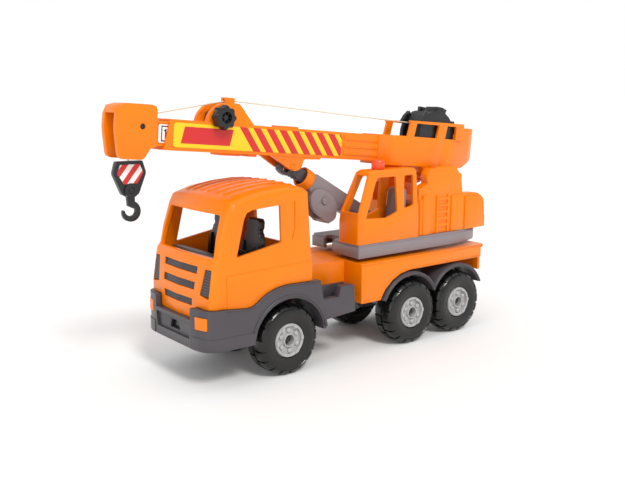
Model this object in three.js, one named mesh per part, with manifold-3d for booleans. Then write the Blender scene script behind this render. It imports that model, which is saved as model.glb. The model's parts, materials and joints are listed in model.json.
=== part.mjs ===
// Toy crane truck: a three-axle lorry with a slewing crane turret and a telescopic boom.
// Millimetres, +Z up. The truck's nose points along -Y and its left side along +X.
// Heights are measured from the ground and lengths along Y from the front axle;
// the whole truck is then moved back so that its box is centred on the origin.
import * as THREE from 'three';
import { mergeVertices } from 'three/addons/utils/BufferGeometryUtils.js';
import Module from 'manifold-3d';

const wasm = await Module();
wasm.setup();

// ---- driving dimensions ----
const GAP = 0.3;                    // play between neighbouring pieces
const CENTRE_Y = 75.5;                // middle of the whole toy, behind the front axle

const WHEEL_RADIUS = 33;
const WHEEL_FACETS = 24;
const TYRE_WIDTH = 26;
const HUB_RADIUS = 16;
const HUB_FACETS = 16;
const TRACK_X = 43.5;                // middle of a tyre
const AXLE_RADIUS = 2.5;
const AXLE_END = 50;
const AXLES_Y = { front: 0, middle: 158, rear: 228 };

const FENDER_X = 57;                // outer face of the front fenders
const FENDER_THICK = 7;
const ARCH_RADIUS = 40;
const BUMPER_LOW = 37;
const LIP_TOP = 48.5;               // the bumper's lower part stands out as far as LIP_OUT
const LIP_OUT = 0.7;
const BUMPER_POD_TOP = 73.5;
const BUMPER_MID_TOP = 62.5;
const POD_INNER_X = 31;

const CAB_WALL = 3;
const CAB_FLOOR_Z = 87;
const SEAT_X = 28;
const SEAT_Y = -16;
const STEERING = { y: -38, z: 118, tilt: THREE.MathUtils.degToRad(-30) };

const DECK_X = 51;
const DECK_FRONT = 91;
const DECK_REAR = 273;
const DECK_TOP = 91.5;
const DECK_SKIRT_LOW = 77.5;
const DECK_PLATE = 3.5;
const SPINE_X = 24;                 // half width of the narrow deck behind the cab

const SLEW_Y = 190;
const SLEW_SPIGOT = 9;
const SLEW_RING = 34;
const BASE_WALL = 4;
const BASE_LOW = 95.5;
const BASE_TOP = 108.7;
const BASE_X = 45;

const OPERATOR_X = [12.7, 44];
const CHEEK_X = [30, 40];           // engine housing cheeks that carry the boom pivot

const PIVOT_Y = 218;                // boom pivot
const PIVOT_Z = 166;
const PIVOT_RADIUS = 4;
const BOOM_PITCH = THREE.MathUtils.degToRad(5.1);

const SLEEVE_X = 13;
const SLEEVE_LOW = 14.5;            // heights above the pivot, square to the boom
const SLEEVE_TOP = 41;
const SLEEVE_FRONT = -315;          // lengths from the pivot, along the boom
const SLEEVE_REAR = -76;
const BORE_X = 10.6;
const BORE_LOW = 17;
const BORE_TOP = 39.2;
const INNER_REAR = -158;
const HOUSING_LEFT = 26;
const HOUSING_RIGHT = -13;
const HOUSING_LOW = 11.4;
const HOUSING_WALL = 3;
const TUB_TOP = 42;
const RAIL_LOW = 55.8;

const WINCH = { v: 1, w: 45, radius: 30.6, notch: 26.5, core: 9, pin: 3.2 };
const KNOB = { v: -266, w: 45.6, radius: 11, shaft: 3, pinion: 6.2 };
const GUIDE = { v: -251, w: 61.4 };
const SHEAVE = { v: -341, w: 33, groove: 7, flange: 9.2, halfWidth: 3 };
const HEAD_X = 14;
const HEAD_SLOT_X = 8.7;
const HEAD_REAR = -328;
const HEAD_FRONT = -365;
const CORD_RADIUS = 0.6;
const WINDING_RADIUS = 10.3;
const CORD_RUN_DOWN = 25.6;         // plumb run from the head sheave to where the line swings

const ROD_TOP = { v: -183.2, w: 4.8 };  // rod pin on the boom bracket
const FOOT_Y = 150;                 // strut foot on the turret
const FOOT_Z = 121;
const ROD_TOP_Y = PIVOT_Y + ROD_TOP.v * Math.cos(BOOM_PITCH) + ROD_TOP.w * Math.sin(BOOM_PITCH);
const ROD_TOP_Z = PIVOT_Z - ROD_TOP.v * Math.sin(BOOM_PITCH) + ROD_TOP.w * Math.cos(BOOM_PITCH);
const STRUT_LENGTH = Math.hypot(FOOT_Y - ROD_TOP_Y, ROD_TOP_Z - FOOT_Z);
const STRUT_PITCH = Math.atan2(ROD_TOP_Z - FOOT_Z, FOOT_Y - ROD_TOP_Y);
const LEVER_PIN = { v: -79, w: -11 };
const EYE_TOP = 7.4;                // rod eye above its pin
const EYE_RELIEF = 0.95;            // depth of the hollow under the sleeve that the eye turns into

const HOOK_Y = -126.6;              // the line that the hook hangs on
const HOOK_TOP = 200.4;
const HOOK_PIN_Z = 175.8;
const SWING_Z = 203;

// ---- finishes ----
const FINISHES = {
  orange: { color: 0xf5911e, roughness: 0.42, metalness: 0 },
  charcoal: { color: 0x4e4a50, roughness: 0.5, metalness: 0 },
  grey: { color: 0x8b8288, roughness: 0.45, metalness: 0 },
  black: { color: 0x2d2e30, roughness: 0.4, metalness: 0 },
  tyre: { color: 0x1e1e1c, roughness: 0.6, metalness: 0 },
  hub: { color: 0xa8a8a8, roughness: 0.4, metalness: 0.2 },
  steel: { color: 0xb4b4b8, roughness: 0.3, metalness: 1 },
  label: { color: 0xfdd821, roughness: 0.35, metalness: 0 },
  beacon: { color: 0xeb5a32, roughness: 0.3, metalness: 0 },
  cord: { color: 0xe6dcc8, roughness: 0.8, metalness: 0 },
};

// ---- solids ----
function solid(geometry) {
  const bare = geometry.index ? geometry.toNonIndexed() : geometry.clone();
  bare.deleteAttribute('normal');
  bare.deleteAttribute('uv');
  const merged = mergeVertices(bare, 1e-4);
  return new wasm.Manifold(new wasm.Mesh({
    numProp: 3,
    vertProperties: merged.attributes.position.array,
    triVerts: new Uint32Array(merged.index.array),
  }));
}

function geometryOf(body) {
  const mesh = body.getMesh();
  const geometry = new THREE.BufferGeometry();
  geometry.setAttribute('position', new THREE.BufferAttribute(mesh.vertProperties, 3));
  geometry.setIndex(new THREE.BufferAttribute(mesh.triVerts, 1));
  geometry.computeVertexNormals();
  return geometry;
}

const join = (...bodies) => bodies.reduce((whole, body) => whole.add(body));
const cut = (body, ...tools) => tools.reduce((rest, tool) => rest.subtract(tool), body);
const common = (...bodies) => bodies.reduce((whole, body) => whole.intersect(body));

// A closed outline of corners [a, b] or [a, b, r], where r rounds the corner.
function outline(corners) {
  const shape = new THREE.Shape();
  const at = (i) => {
    const [a, b] = corners[(i + corners.length) % corners.length];
    return new THREE.Vector2(a, b);
  };
  corners.forEach(([a, b, r = 0], i) => {
    const corner = at(i);
    const start = at(i - 1).sub(corner).setLength(r).add(corner);
    const end = at(i + 1).sub(corner).setLength(r).add(corner);
    if (i === 0) {
      shape.moveTo(start.x, start.y);
    } else {
      shape.lineTo(start.x, start.y);
    }
    if (r > 0) {
      shape.quadraticCurveTo(a, b, end.x, end.y);
    }
  });
  shape.closePath();
  return shape;
}

const AXES = {
  x: [new THREE.Vector3(0, 1, 0), new THREE.Vector3(0, 0, 1), new THREE.Vector3(1, 0, 0)],
  y: [new THREE.Vector3(0, 0, 1), new THREE.Vector3(1, 0, 0), new THREE.Vector3(0, 1, 0)],
  z: [new THREE.Vector3(1, 0, 0), new THREE.Vector3(0, 1, 0), new THREE.Vector3(0, 0, 1)],
};

// An outline pushed from one plane to another along an axis. Its corners are
// [y, z] along x, [z, x] along y and [x, y] along z.
function prism(axis, corners, [from, to], curveSegments = 2) {
  const settings = { depth: to - from, bevelEnabled: false, curveSegments };
  const geometry = new THREE.ExtrudeGeometry(outline(corners), settings);
  geometry.translate(0, 0, from);
  geometry.applyMatrix4(new THREE.Matrix4().makeBasis(...AXES[axis]));
  return solid(geometry);
}

function block([x0, x1], [y0, y1], [z0, z1]) {
  const geometry = new THREE.BoxGeometry(x1 - x0, y1 - y0, z1 - z0);
  geometry.translate((x0 + x1) / 2, (y0 + y1) / 2, (z0 + z1) / 2);
  return solid(geometry);
}

// A round bar along an axis, centred on the two other coordinates.
function bar(axis, radius, [from, to], [a, b], facets = 20) {
  const geometry = new THREE.CylinderGeometry(radius, radius, to - from, facets);
  geometry.rotateX(Math.PI / 2);
  geometry.translate(a, b, (from + to) / 2);
  geometry.applyMatrix4(new THREE.Matrix4().makeBasis(...AXES[axis]));
  return solid(geometry);
}

// A profile of [radius, x] turned about the X axis, with a facet at the bottom.
function turned(profile, facets) {
  const points = profile.map(([radius, x]) => new THREE.Vector2(radius, x));
  const geometry = new THREE.LatheGeometry(points, facets, Math.PI / facets);
  geometry.rotateZ(-Math.PI / 2);
  return solid(geometry);
}

// Rings of equally many points, each ring level, skinned from the lowest to the highest.
function loft(rings) {
  const around = rings[0].length;
  const positions = rings.flat(2);
  const faces = [];
  for (let ring = 0; ring + 1 < rings.length; ring += 1) {
    for (let i = 0; i < around; i += 1) {
      const a = ring * around + i;
      const b = ring * around + ((i + 1) % around);
      faces.push(a, b, b + around, a, b + around, a + around);
    }
  }
  const last = (rings.length - 1) * around;
  for (let i = 1; i + 1 < around; i += 1) {
    faces.push(0, i + 1, i, last, last + i, last + i + 1);
  }
  const geometry = new THREE.BufferGeometry();
  geometry.setAttribute('position', new THREE.Float32BufferAttribute(positions, 3));
  geometry.setIndex(faces);
  return solid(geometry);
}

// A level ring for loft: a rectangle with rounded corners whose front bows out by nose.
function ring({ z, x0, x1, front, rear, nose = 0, round = 2, rearRound = 2 }) {
  const corners = [
    [x1, rear, rearRound, 0],
    [x0, rear, rearRound, Math.PI / 2],
    [x0, front + nose, round, Math.PI],
    [x1, front + nose, round, Math.PI * 1.5],
  ];
  const points = [];
  corners.forEach(([x, y, r, turn], index) => {
    const centreX = x === x1 ? x - r : x + r;
    const centreY = y === rear ? y - r : y + r;
    for (let step = 0; step <= 3; step += 1) {
      const angle = turn + (Math.PI / 6) * step;
      points.push([centreX + r * Math.cos(angle), centreY + r * Math.sin(angle), z]);
    }
    if (index === 2) {
      points.push([(x0 + x1) / 2, front, z]);
    }
  });
  return points;
}

// A cord or other tube of even section along a curve.
function tube(points, radius, steps, facets = 8) {
  const path = new THREE.CatmullRomCurve3(points, false, 'centripetal');
  const section = new THREE.Shape();
  section.absarc(0, 0, radius, 0, Math.PI * 2);
  const settings = { steps, extrudePath: path, curveSegments: facets / 2, bevelEnabled: false };
  return solid(new THREE.ExtrudeGeometry(section, settings));
}

function part(name, body, finish) {
  const mesh = new THREE.Mesh(geometryOf(body), new THREE.MeshStandardMaterial(FINISHES[finish]));
  mesh.name = name;
  return mesh;
}

function mirrored(name, body, finish) {
  const mesh = part(name, body, finish);
  mesh.scale.x = -1;
  return mesh;
}

// ---- wheels and axles ----
const facetFit = (radius, facets) => radius / Math.cos(Math.PI / facets);

// A tyre moulded open on the side that faces the chassis.
function tyreBody() {
  const outer = facetFit(WHEEL_RADIUS, WHEEL_FACETS);
  const half = TYRE_WIDTH / 2;
  const inner = HUB_RADIUS + 0.6;
  const wall = 3.4;
  return turned([
    [inner, -half + 1],
    [inner + wall, -half + 1],
    [inner + wall, half - wall - 1],
    [29.5 - wall, half - wall - 1],
    [29.5 - wall, -half],
    [29.5, -half],
    [outer, -half + 3.5],
    [outer, half - 3.5],
    [29.5, half],
    [inner, half - 1],
    [inner, -half + 1],
  ], WHEEL_FACETS);
}

function hubBody() {
  const bore = AXLE_RADIUS + 0.4;
  return turned([
    [bore, -10],
    [HUB_RADIUS, -10],
    [HUB_RADIUS, 12],
    [14, 12],
    [12.5, 8.5],
    [6, 8.5],
    [5, 11],
    [bore, 11],
    [bore, -10],
  ], HUB_FACETS);
}

function axleSet(place, y) {
  const group = new THREE.Group();
  group.position.set(0, y, WHEEL_RADIUS);
  group.add(part(`axle_${place}`, bar('x', AXLE_RADIUS, [-AXLE_END, AXLE_END], [0, 0], 16), 'steel'));
  for (const [side, sign] of [['left', 1], ['right', -1]]) {
    const tyre = part(`tyre_${place}_${side}`, tyreBody(), 'tyre');
    const hub = part(`hub_${place}_${side}`, hubBody(), 'hub');
    tyre.position.x = sign * TRACK_X;
    hub.position.x = sign * TRACK_X;
    tyre.rotation.z = sign > 0 ? 0 : Math.PI;
    hub.rotation.z = tyre.rotation.z;
    group.add(tyre, hub);
  }
  return group;
}

// ---- chassis ----
function chassisBody() {
  const railX = [14, 21];
  const pieces = [];
  for (const sign of [1, -1]) {
    const x = railX.map((value) => value * sign).sort((a, b) => a - b);
    pieces.push(block(x, [-58, 264], [46, 58]));
    for (const y of Object.values(AXLES_Y)) {
      pieces.push(block(x, [y - 8, y + 8], [25, 47]));
    }
  }
  for (const y of [-52, 44, 100, 193, 258]) {
    pieces.push(block([-15, 15], [y - 4, y + 4], [47, 56]));
  }
  const bores = Object.values(AXLES_Y).map((y) => (
    bar('x', AXLE_RADIUS + 0.5, [-30, 30], [y, WHEEL_RADIUS], 16)
  ));
  return cut(join(...pieces), ...bores);
}

// The seam between the fender and the cab above it, as [y, z, corner radius].
const WING_LINE = [[-70, 73.4], [-41, 70.4, 7], [-25, 82, 10], [-6, 86.2, 8], [35, 85]];
const WING_STEPS = 5;               // facets in each of its corners

// The bumper's plan, from the left end round the nose to the right end.
function bumperPlan(inset) {
  const side = FENDER_X - inset;
  const front = -90 + inset;
  return [
    [side, -69],
    [side, front + 4, 15 - inset],
    [POD_INNER_X, front, 3],
    [-POD_INNER_X, front, 3],
    [-side, front + 4, 15 - inset],
    [-side, -69],
  ];
}

function lampWindow(grow) {
  return block([38 - grow, 51 + grow], [-100, -60], [56 - grow, 67 + grow]);
}

function frontSkirtBody() {
  const shell = cut(
    prism('z', bumperPlan(0), [BUMPER_LOW, BUMPER_POD_TOP], 5),
    prism('z', bumperPlan(5), [BUMPER_LOW - 1, BUMPER_POD_TOP + 1], 5),
    block([-POD_INNER_X, POD_INNER_X], [-100, -40], [BUMPER_MID_TOP, BUMPER_POD_TOP + 1]),
  );
  const floor = block([-26, 26], [-86, 30], [BUMPER_MID_TOP - 3, BUMPER_MID_TOP]);
  const recess = prism('y', [[45, -29], [45, 29], [59, 31], [59, -31]], [-100, -87.5]);
  const towSlot = prism('y', [[48, -9], [48, 9], [56, 6], [56, -6]], [-100, -70]);
  const wing = prism('x', [
    [-70, BUMPER_LOW], ...WING_LINE, [38.5, 66], [57, 65.5], [60, 75.5, 1], [76, 75.3, 1.5],
    [78, 48.5, 1], [38, 45.5], [30, 36.5],
  ], [FENDER_X - FENDER_THICK, FENDER_X], WING_STEPS);
  const lip = prism('x', [
    [-69.2, BUMPER_LOW], [-69.2, LIP_TOP], [-30, LIP_TOP], [-30, BUMPER_LOW],
  ], [FENDER_X - 1, FENDER_X + LIP_OUT]);
  const noseLip = cut(
    prism('z', bumperPlan(-LIP_OUT), [BUMPER_LOW, LIP_TOP], 5),
    prism('z', bumperPlan(2), [BUMPER_LOW - 1, LIP_TOP + 1], 5),
    block([-POD_INNER_X - 3, POD_INNER_X + 3], [-100, -40], [BUMPER_LOW - 1, LIP_TOP + 1]),
  );
  const archTop = ARCH_RADIUS + 3;
  const arch = common(
    cut(
      bar('x', archTop, [23, FENDER_X - 1], [0, WHEEL_RADIUS], 36),
      bar('x', ARCH_RADIUS, [20, FENDER_X + 3], [0, WHEEL_RADIUS], 36),
    ),
    block([20, 60], [-50, 50], [BUMPER_LOW, 90]),
  );
  const steps = join(
    block([30, FENDER_X - 2], [39, 77], [48.6, 52]),
    block([36, FENDER_X - 2], [42, 56], [57, 60]),
    block([36, 40], [39, 77], [50, 74]),
    block([36, FENDER_X - 2], [73.5, 76.5], [50, 74]),
  );
  const half = join(wing, lip, arch, steps, block([20, 42], [35, 45], [56, 60]));
  const whole = join(shell, noseLip, floor, half, mirrorX(half));
  return cut(
    whole,
    recess,
    towSlot,
    bar('x', ARCH_RADIUS, [-70, 70], [0, WHEEL_RADIUS], 36),
    lampWindow(GAP),
    mirrorX(lampWindow(GAP)),
    block([-22, 22], [-60, 60], [40, 58 + GAP]),
  );
}

// The same solid on the other side of the truck.
function mirrorX(body) {
  const geometry = geometryOf(body);
  geometry.applyMatrix4(new THREE.Matrix4().makeScale(-1, 1, 1));
  const order = geometry.index.array;
  for (let i = 0; i < order.length; i += 3) {
    [order[i + 1], order[i + 2]] = [order[i + 2], order[i + 1]];
  }
  return solid(geometry);
}

const lampBody = () => common(
  cut(prism('z', bumperPlan(-0.6), [40, 70], 5), prism('z', bumperPlan(3), [40, 70], 5)),
  lampWindow(0),
);

function mudguardBody() {
  const outer = 42.5;
  const inner = 38.5;
  const x = [23, 53];
  const centres = [AXLES_Y.middle, AXLES_Y.rear];
  const rings = (radius, span) => join(...centres.map((y) => (
    bar('x', radius, span, [y, WHEEL_RADIUS], 40)
  )));
  const shell = cut(rings(outer, x), rings(inner, [x[0] - 1, x[1] + 1]));
  return common(shell, block([20, 60], [100, 290], [50.5, 80]));
}

function deckBody() {
  const low = DECK_TOP - DECK_PLATE;
  const spine = cut(
    block([-SPINE_X, SPINE_X], [31, DECK_FRONT + 2], [70, DECK_TOP]),
    block([-SPINE_X + 3, SPINE_X - 3], [34, DECK_FRONT + 4], [69, low]),
  );
  const top = prism('z', [
    [DECK_X, DECK_FRONT, 3], [DECK_X, DECK_REAR, 6], [-DECK_X, DECK_REAR, 6], [-DECK_X, DECK_FRONT, 3],
  ], [low, DECK_TOP]);
  const apron = prism('x', [
    [DECK_FRONT, 52], [DECK_FRONT, low + 1], [DECK_REAR - 6, low + 1], [DECK_REAR - 6, DECK_SKIRT_LOW],
    [158, DECK_SKIRT_LOW], [144, 75], [131, 69], [121, 60, 3], [117, 51.5], [95, 51.5],
  ], [DECK_X - 4, DECK_X]);
  const front = block([-DECK_X, DECK_X], [DECK_FRONT, DECK_FRONT + 3.5], [52, low + 1]);
  const rear = block([-DECK_X + 6, DECK_X - 6], [DECK_REAR - 3.5, DECK_REAR], [62, low + 1]);
  const posts = [105, 160, 258].flatMap((y) => [17.5, -17.5].map((x) => (
    block([x - 3, x + 3], [y - 3, y + 3], [58 + GAP, low + 1])
  )));
  return cut(
    join(spine, top, apron, mirrorX(apron), front, rear, ...posts),
    bar('z', SLEW_SPIGOT + 0.7, [60, 100], [0, SLEW_Y], 28),
    block([-22, 22], [80, 100], [40, 58 + GAP]),
    block([-16, 16], [80, 100], [62, 80]),
  );
}

// ---- driver's cab ----
const CAB_HALF = 54;
const CAB_RINGS = [
  { z: 60, front: -85.6, rear: 29.5 },
  { z: 84, front: -85.2, rear: 29 },
  { z: 106, front: -81.6, rear: 28 },
  { z: 114.5, front: -80, rear: 27.5 },
  { z: 118.5, front: -76.5, rear: 27.3 },
  { z: 135, front: -72.7, rear: 26 },
  { z: 155, front: -66, rear: 24.6 },
  { z: 180, front: -53, rear: 23 },
];
// The roof's middle line as [y, z], from its rear edge to its front edge.
const ROOF_LINE = [
  [40, 168], [24.5, 170.5], [21, 173.5], [14, 175.8], [0, 176.3], [-20, 175], [-40, 172],
  [-55, 167.6], [-58.5, 166.3], [-61, 164.5], [-95, 155],
];
// How far the roof falls towards its side edges, as [x, fall].
const ROOF_FALL = [[0, 0], [28, 0.8], [48, 2.2], [51.5, 3.6], [53.4, 6], [54, 9], [70, 9]];

function roofForm(inset) {
  const sides = [
    ...ROOF_FALL.slice(1).reverse().map(([x, fall]) => [-x, fall]),
    ...ROOF_FALL,
  ];
  return loft(sides.map(([x, fall]) => {
    const across = Math.abs(x) > 40 ? x - Math.sign(x) * inset : x;
    const line = ROOF_LINE.map(([y, z]) => [across, y, z - fall - inset]);
    return [[across, -95, 50], [across, 40, 50], ...line];
  }));
}

function cabForm(inset) {
  const body = loft(CAB_RINGS.map(({ z, front, rear }) => ring({
    z: z - inset,
    x0: -CAB_HALF + inset,
    x1: CAB_HALF - inset,
    front: front + inset,
    rear: rear - inset,
    nose: 2.5,
    round: 7 - inset / 2,
    rearRound: 4 - inset / 2,
  })));
  return common(body, roofForm(inset));
}

function cabBody() {
  const roofRibs = common(
    cabForm(-0.8),
    join(...[-39, -26, -13, 0, 13, 26, 39].map((x) => (
      block([x - 1.6, x + 1.6], [-50, 14], [160, 180])
    ))),
  );
  const lowerSides = common(
    cabForm(-0.7),
    join(...[[50, 56], [-56, -50]].map((span) => (
      prism('x', [[-66, 62], [31, 62], [31, 104.4], [-42, 102.5], [-66, 102]], span)
    ))),
  );
  const shell = cut(join(cabForm(0), roofRibs, lowerSides), cabForm(CAB_WALL));
  const doorLine = prism('x', [
    [6.2, 161.6], [6.2, 136], [3.6, 127.3], [4.8, 127], [7.5, 136], [7.5, 161.6],
  ], [CAB_HALF - 0.9, 60]);
  const overWheels = prism('x', [
    [-100, 50], [-100, 74.2], ...WING_LINE.map(([y, z, r]) => [y, z + 0.4, r]), [40, 85.4], [40, 50],
  ], [POD_INNER_X + GAP, 70], WING_STEPS);
  const sideWindows = prism('x', [
    [-55.5, 117, 1.5], [-45.5, 156.5, 7], [-8.5, 159, 1.5], [-7.5, 125, 1.5],
  ], [-70, 70]);
  const windscreen = prism('y', [
    [117, -47, 2], [153.5, -43, 2], [153.5, 43, 2], [117, 47, 2],
  ], [-100, -40]);
  const rearWindow = prism('y', [
    [116, -34, 4], [153, -33, 4], [153, 33, 4], [116, 34, 4],
  ], [15, 40]);
  const slots = [[102, 108.5, 29], [88, 94.8, 27.5], [73.5, 80, 25]].map(([low, high, half]) => (
    block([-half, half], [-100, -70], [low, high])
  ));
  const louvre = prism('y', [[108, 40.5, 1], [108, 49.5, 1], [83, 50, 1], [85, 36.5, 1]], [-100, -60]);
  return cut(
    shell,
    overWheels,
    mirrorX(overWheels),
    block([-POD_INNER_X - 1, POD_INNER_X + 1], [-74, 40], [50, 85.3]),
    block([-60, 60], [-100, 40], [50, BUMPER_MID_TOP + GAP]),
    sideWindows,
    windscreen,
    rearWindow,
    ...slots,
    louvre,
    mirrorX(louvre),
    doorLine,
    mirrorX(doorLine),
  );
}

const grilleBody = () => common(
  cut(cabForm(CAB_WALL + GAP), cabForm(CAB_WALL + GAP + 2)),
  join(
    block([-60, 60], [-100, -62], [75, 111]),
    block([-POD_INNER_X + 0.5, POD_INNER_X - 0.5], [-100, -62], [66, 76]),
  ),
);

function cabInteriorBody() {
  const floor = block([-49.5, 49.5], [-58, 24], [CAB_FLOOR_Z, CAB_FLOOR_Z + 2.5]);
  const dash = prism('x', [
    [-60, CAB_FLOOR_Z], [-66, 112], [-64, 116], [-52, 114, 2], [-50, 98],
    [-56, CAB_FLOOR_Z + 2],
  ], [-43, 43]);
  return join(floor, dash);
}

function seatBody(base) {
  const profile = [
    [-27, base], [-27, base + 12, 3], [-10, base + 11, 3], [-6, base + 55, 4], [2, base + 55, 4],
    [0, base],
  ];
  return prism('x', profile, [-14, 14]);
}

function steeringWheelBody() {
  const rim = solid(new THREE.TorusGeometry(11, 1.3, 6, 18));
  const spoke = block([-11, 11], [-1.2, 1.2], [-1, 1]);
  const column = bar('z', 1.8, [-20, 1], [0, 0], 12);
  return join(rim, spoke, column);
}

// ---- turret ----
const BASE_PLAN = [
  [BASE_X, 92, 1.5], [BASE_X, 238, 12], [36, 272, 12], [18, 290, 10], [-18, 290, 10],
  [-36, 272, 12], [-BASE_X, 238, 12], [-BASE_X, 104, 2], [-24, 104], [-24, 112, 2], [-2, 112],
  [-2, 97, 1.5],
];

const shrunk = (plan, inset) => plan.map(([x, y, r = 0]) => {
  const y0 = y < SLEW_Y ? y + inset : y - inset;
  return [x - Math.sign(x) * inset, y0, r];
});

function turretBaseBody() {
  const pocket = cut(
    prism('z', shrunk(BASE_PLAN, BASE_WALL), [BASE_LOW - 1, BASE_TOP - BASE_WALL]),
    bar('z', SLEW_RING + 2, [BASE_LOW - 2, BASE_TOP], [0, SLEW_Y], 36),
  );
  const foot = prism('x', [
    [FOOT_Y - 9, BASE_TOP - 1], [FOOT_Y - 5, FOOT_Z + 5, 3], [FOOT_Y + 5, FOOT_Z + 5, 3],
    [FOOT_Y + 9, BASE_TOP - 1],
  ], [8.1, 11.7]);
  return cut(
    join(
      prism('z', BASE_PLAN, [BASE_LOW, BASE_TOP - 2.2]),
      prism('z', shrunk(BASE_PLAN, 1.2), [BASE_TOP - 3, BASE_TOP]),
      bar('z', SLEW_RING, [DECK_TOP + 0.5, BASE_LOW + 1], [0, SLEW_Y], 36),
      bar('z', SLEW_SPIGOT, [DECK_TOP - DECK_PLATE - 0.6, BASE_LOW + 1], [0, SLEW_Y], 28),
      foot,
      mirrorX(foot),
    ),
    pocket,
    bar('x', 3.3, [-20, 20], [FOOT_Y, FOOT_Z], 16),
  );
}

const retainerBody = () => cut(
  bar('z', 15, [DECK_TOP - DECK_PLATE - 5, DECK_TOP - DECK_PLATE - 0.9], [0, SLEW_Y], 28),
  bar('z', 2, [70, 100], [0, SLEW_Y], 12),
);

function operatorForm(inset, drop) {
  const [x0, x1] = OPERATOR_X;
  return loft([
    { z: BASE_TOP + GAP, front: 92.5, rear: 177.6, inner: x0 },
    { z: 131, front: 92.5, rear: 176.6, inner: x0 },
    { z: 141, front: 93.5, rear: 175.8, inner: x0 + 0.8 },
    { z: 178.5, front: 107, rear: 172, inner: x0 + 8 },
    { z: 181, front: 110, rear: 170, inner: x0 + 10.5 },
  ].map(({ z, front, rear, inner }, level) => ring({
    z: z - drop,
    x0: inner + inset,
    x1: x1 - inset - (level === 4 ? 2.5 : 0),
    front: front + inset,
    rear: rear - inset,
    round: 3 - inset / 2,
    rearRound: 3 - inset / 2,
  })));
}

function operatorCabBody() {
  const wall = 2.6;
  const shell = cut(operatorForm(0, 0), operatorForm(wall, wall));
  const doorWindow = prism('x', [
    [116, 174, 2], [102, 134.5, 2], [130, 133, 3], [145, 138, 2], [141.5, 174, 2],
  ], [2, 60]);
  const rearWindow = prism('x', [
    [153, 174, 2], [154, 140.5, 2], [167.5, 143, 2], [165.5, 174.5, 2],
  ], [2, 60]);
  const screen = prism('y', [
    [140, 17, 1.5], [176, 25, 1.5], [176, 40, 1.5], [140, 41.5, 1.5],
  ], [80, 112]);
  const backWindow = prism('y', [
    [146, 20], [172, 26], [172, 39], [146, 40],
  ], [165, 190]);
  return cut(shell, doorWindow, rearWindow, screen, backWindow);
}

const consoleBody = () => join(
  prism('x', [[96, 109.1], [96, 134], [104, 137, 2], [110, 126], [110, 109.1]], [18, 39]),
  bar('x', 1.4, [16.4, 17.5], [112, 128], 12).add(block([17, 18.5], [104, 114], [126, 130])),
);

const operatorSeatBody = () => prism('x', [
  [128, 109.1], [128, 124, 3], [150, 122, 3], [155, 160, 4], [163, 160, 4], [161, 109.1],
], [19, 38]);

function engineHousingBody() {
  const low = BASE_TOP + GAP;
  const outer = CHEEK_X[1];
  const cheek = prism('x', [
    [178.4, low], [178.4, 157], [192, 163], [190.4, 168, 3], [191.5, 175, 4], [198, 178.4],
    [204, 178], [204, 179.3], [234.5, 179], [239, 172.3], [244, 169.5], [244, 163.3, 1],
    [246, 149.5], [270, 148, 3], [282, 141, 5], [284, low],
  ], CHEEK_X);
  const panel = (y, z, proud) => block([outer - 1, outer + proud], y, z);
  const rungs = [116, 123, 130, 137, 144].map((z) => panel([205, 224], [z, z + 2.6], 1.5));
  const relief = join(
    panel([180, 196], [low, 147], 1.2),
    panel([184, 192], [low, 151], 2),
    panel([205, 207.5], [low, 149.5], 1.5),
    panel([221.5, 224], [low, 149.5], 1.5),
    ...rungs,
    panel([228, 246.5], [low, 148], 1.2),
    panel([250, 270], [low, 145], 1.2),
  );
  const side = join(cheek, relief);
  return cut(
    join(
      side,
      mirrorX(side),
      block([-outer, outer], [178.4, 284], [low, 113]),
      block([-outer, outer], [178.4, 182], [low, 140]),
      block([-outer, outer], [280, 284], [low, 121]),
      block([-38, 38], [184, 188], [low, 150]),
    ),
    bar('x', PIVOT_RADIUS + 0.35, [-outer + 1, outer - 1], [PIVOT_Y, PIVOT_Z], 20),
  );
}

function beaconBody() {
  const profile = [[0, 0], [6.8, 0], [6.8, 6.6], [5.6, 9], [0, 9.5]];
  const points = profile.map(([radius, height]) => new THREE.Vector2(radius, height));
  const geometry = new THREE.LatheGeometry(points, 16);
  geometry.rotateX(Math.PI / 2);
  return solid(geometry);
}

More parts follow.
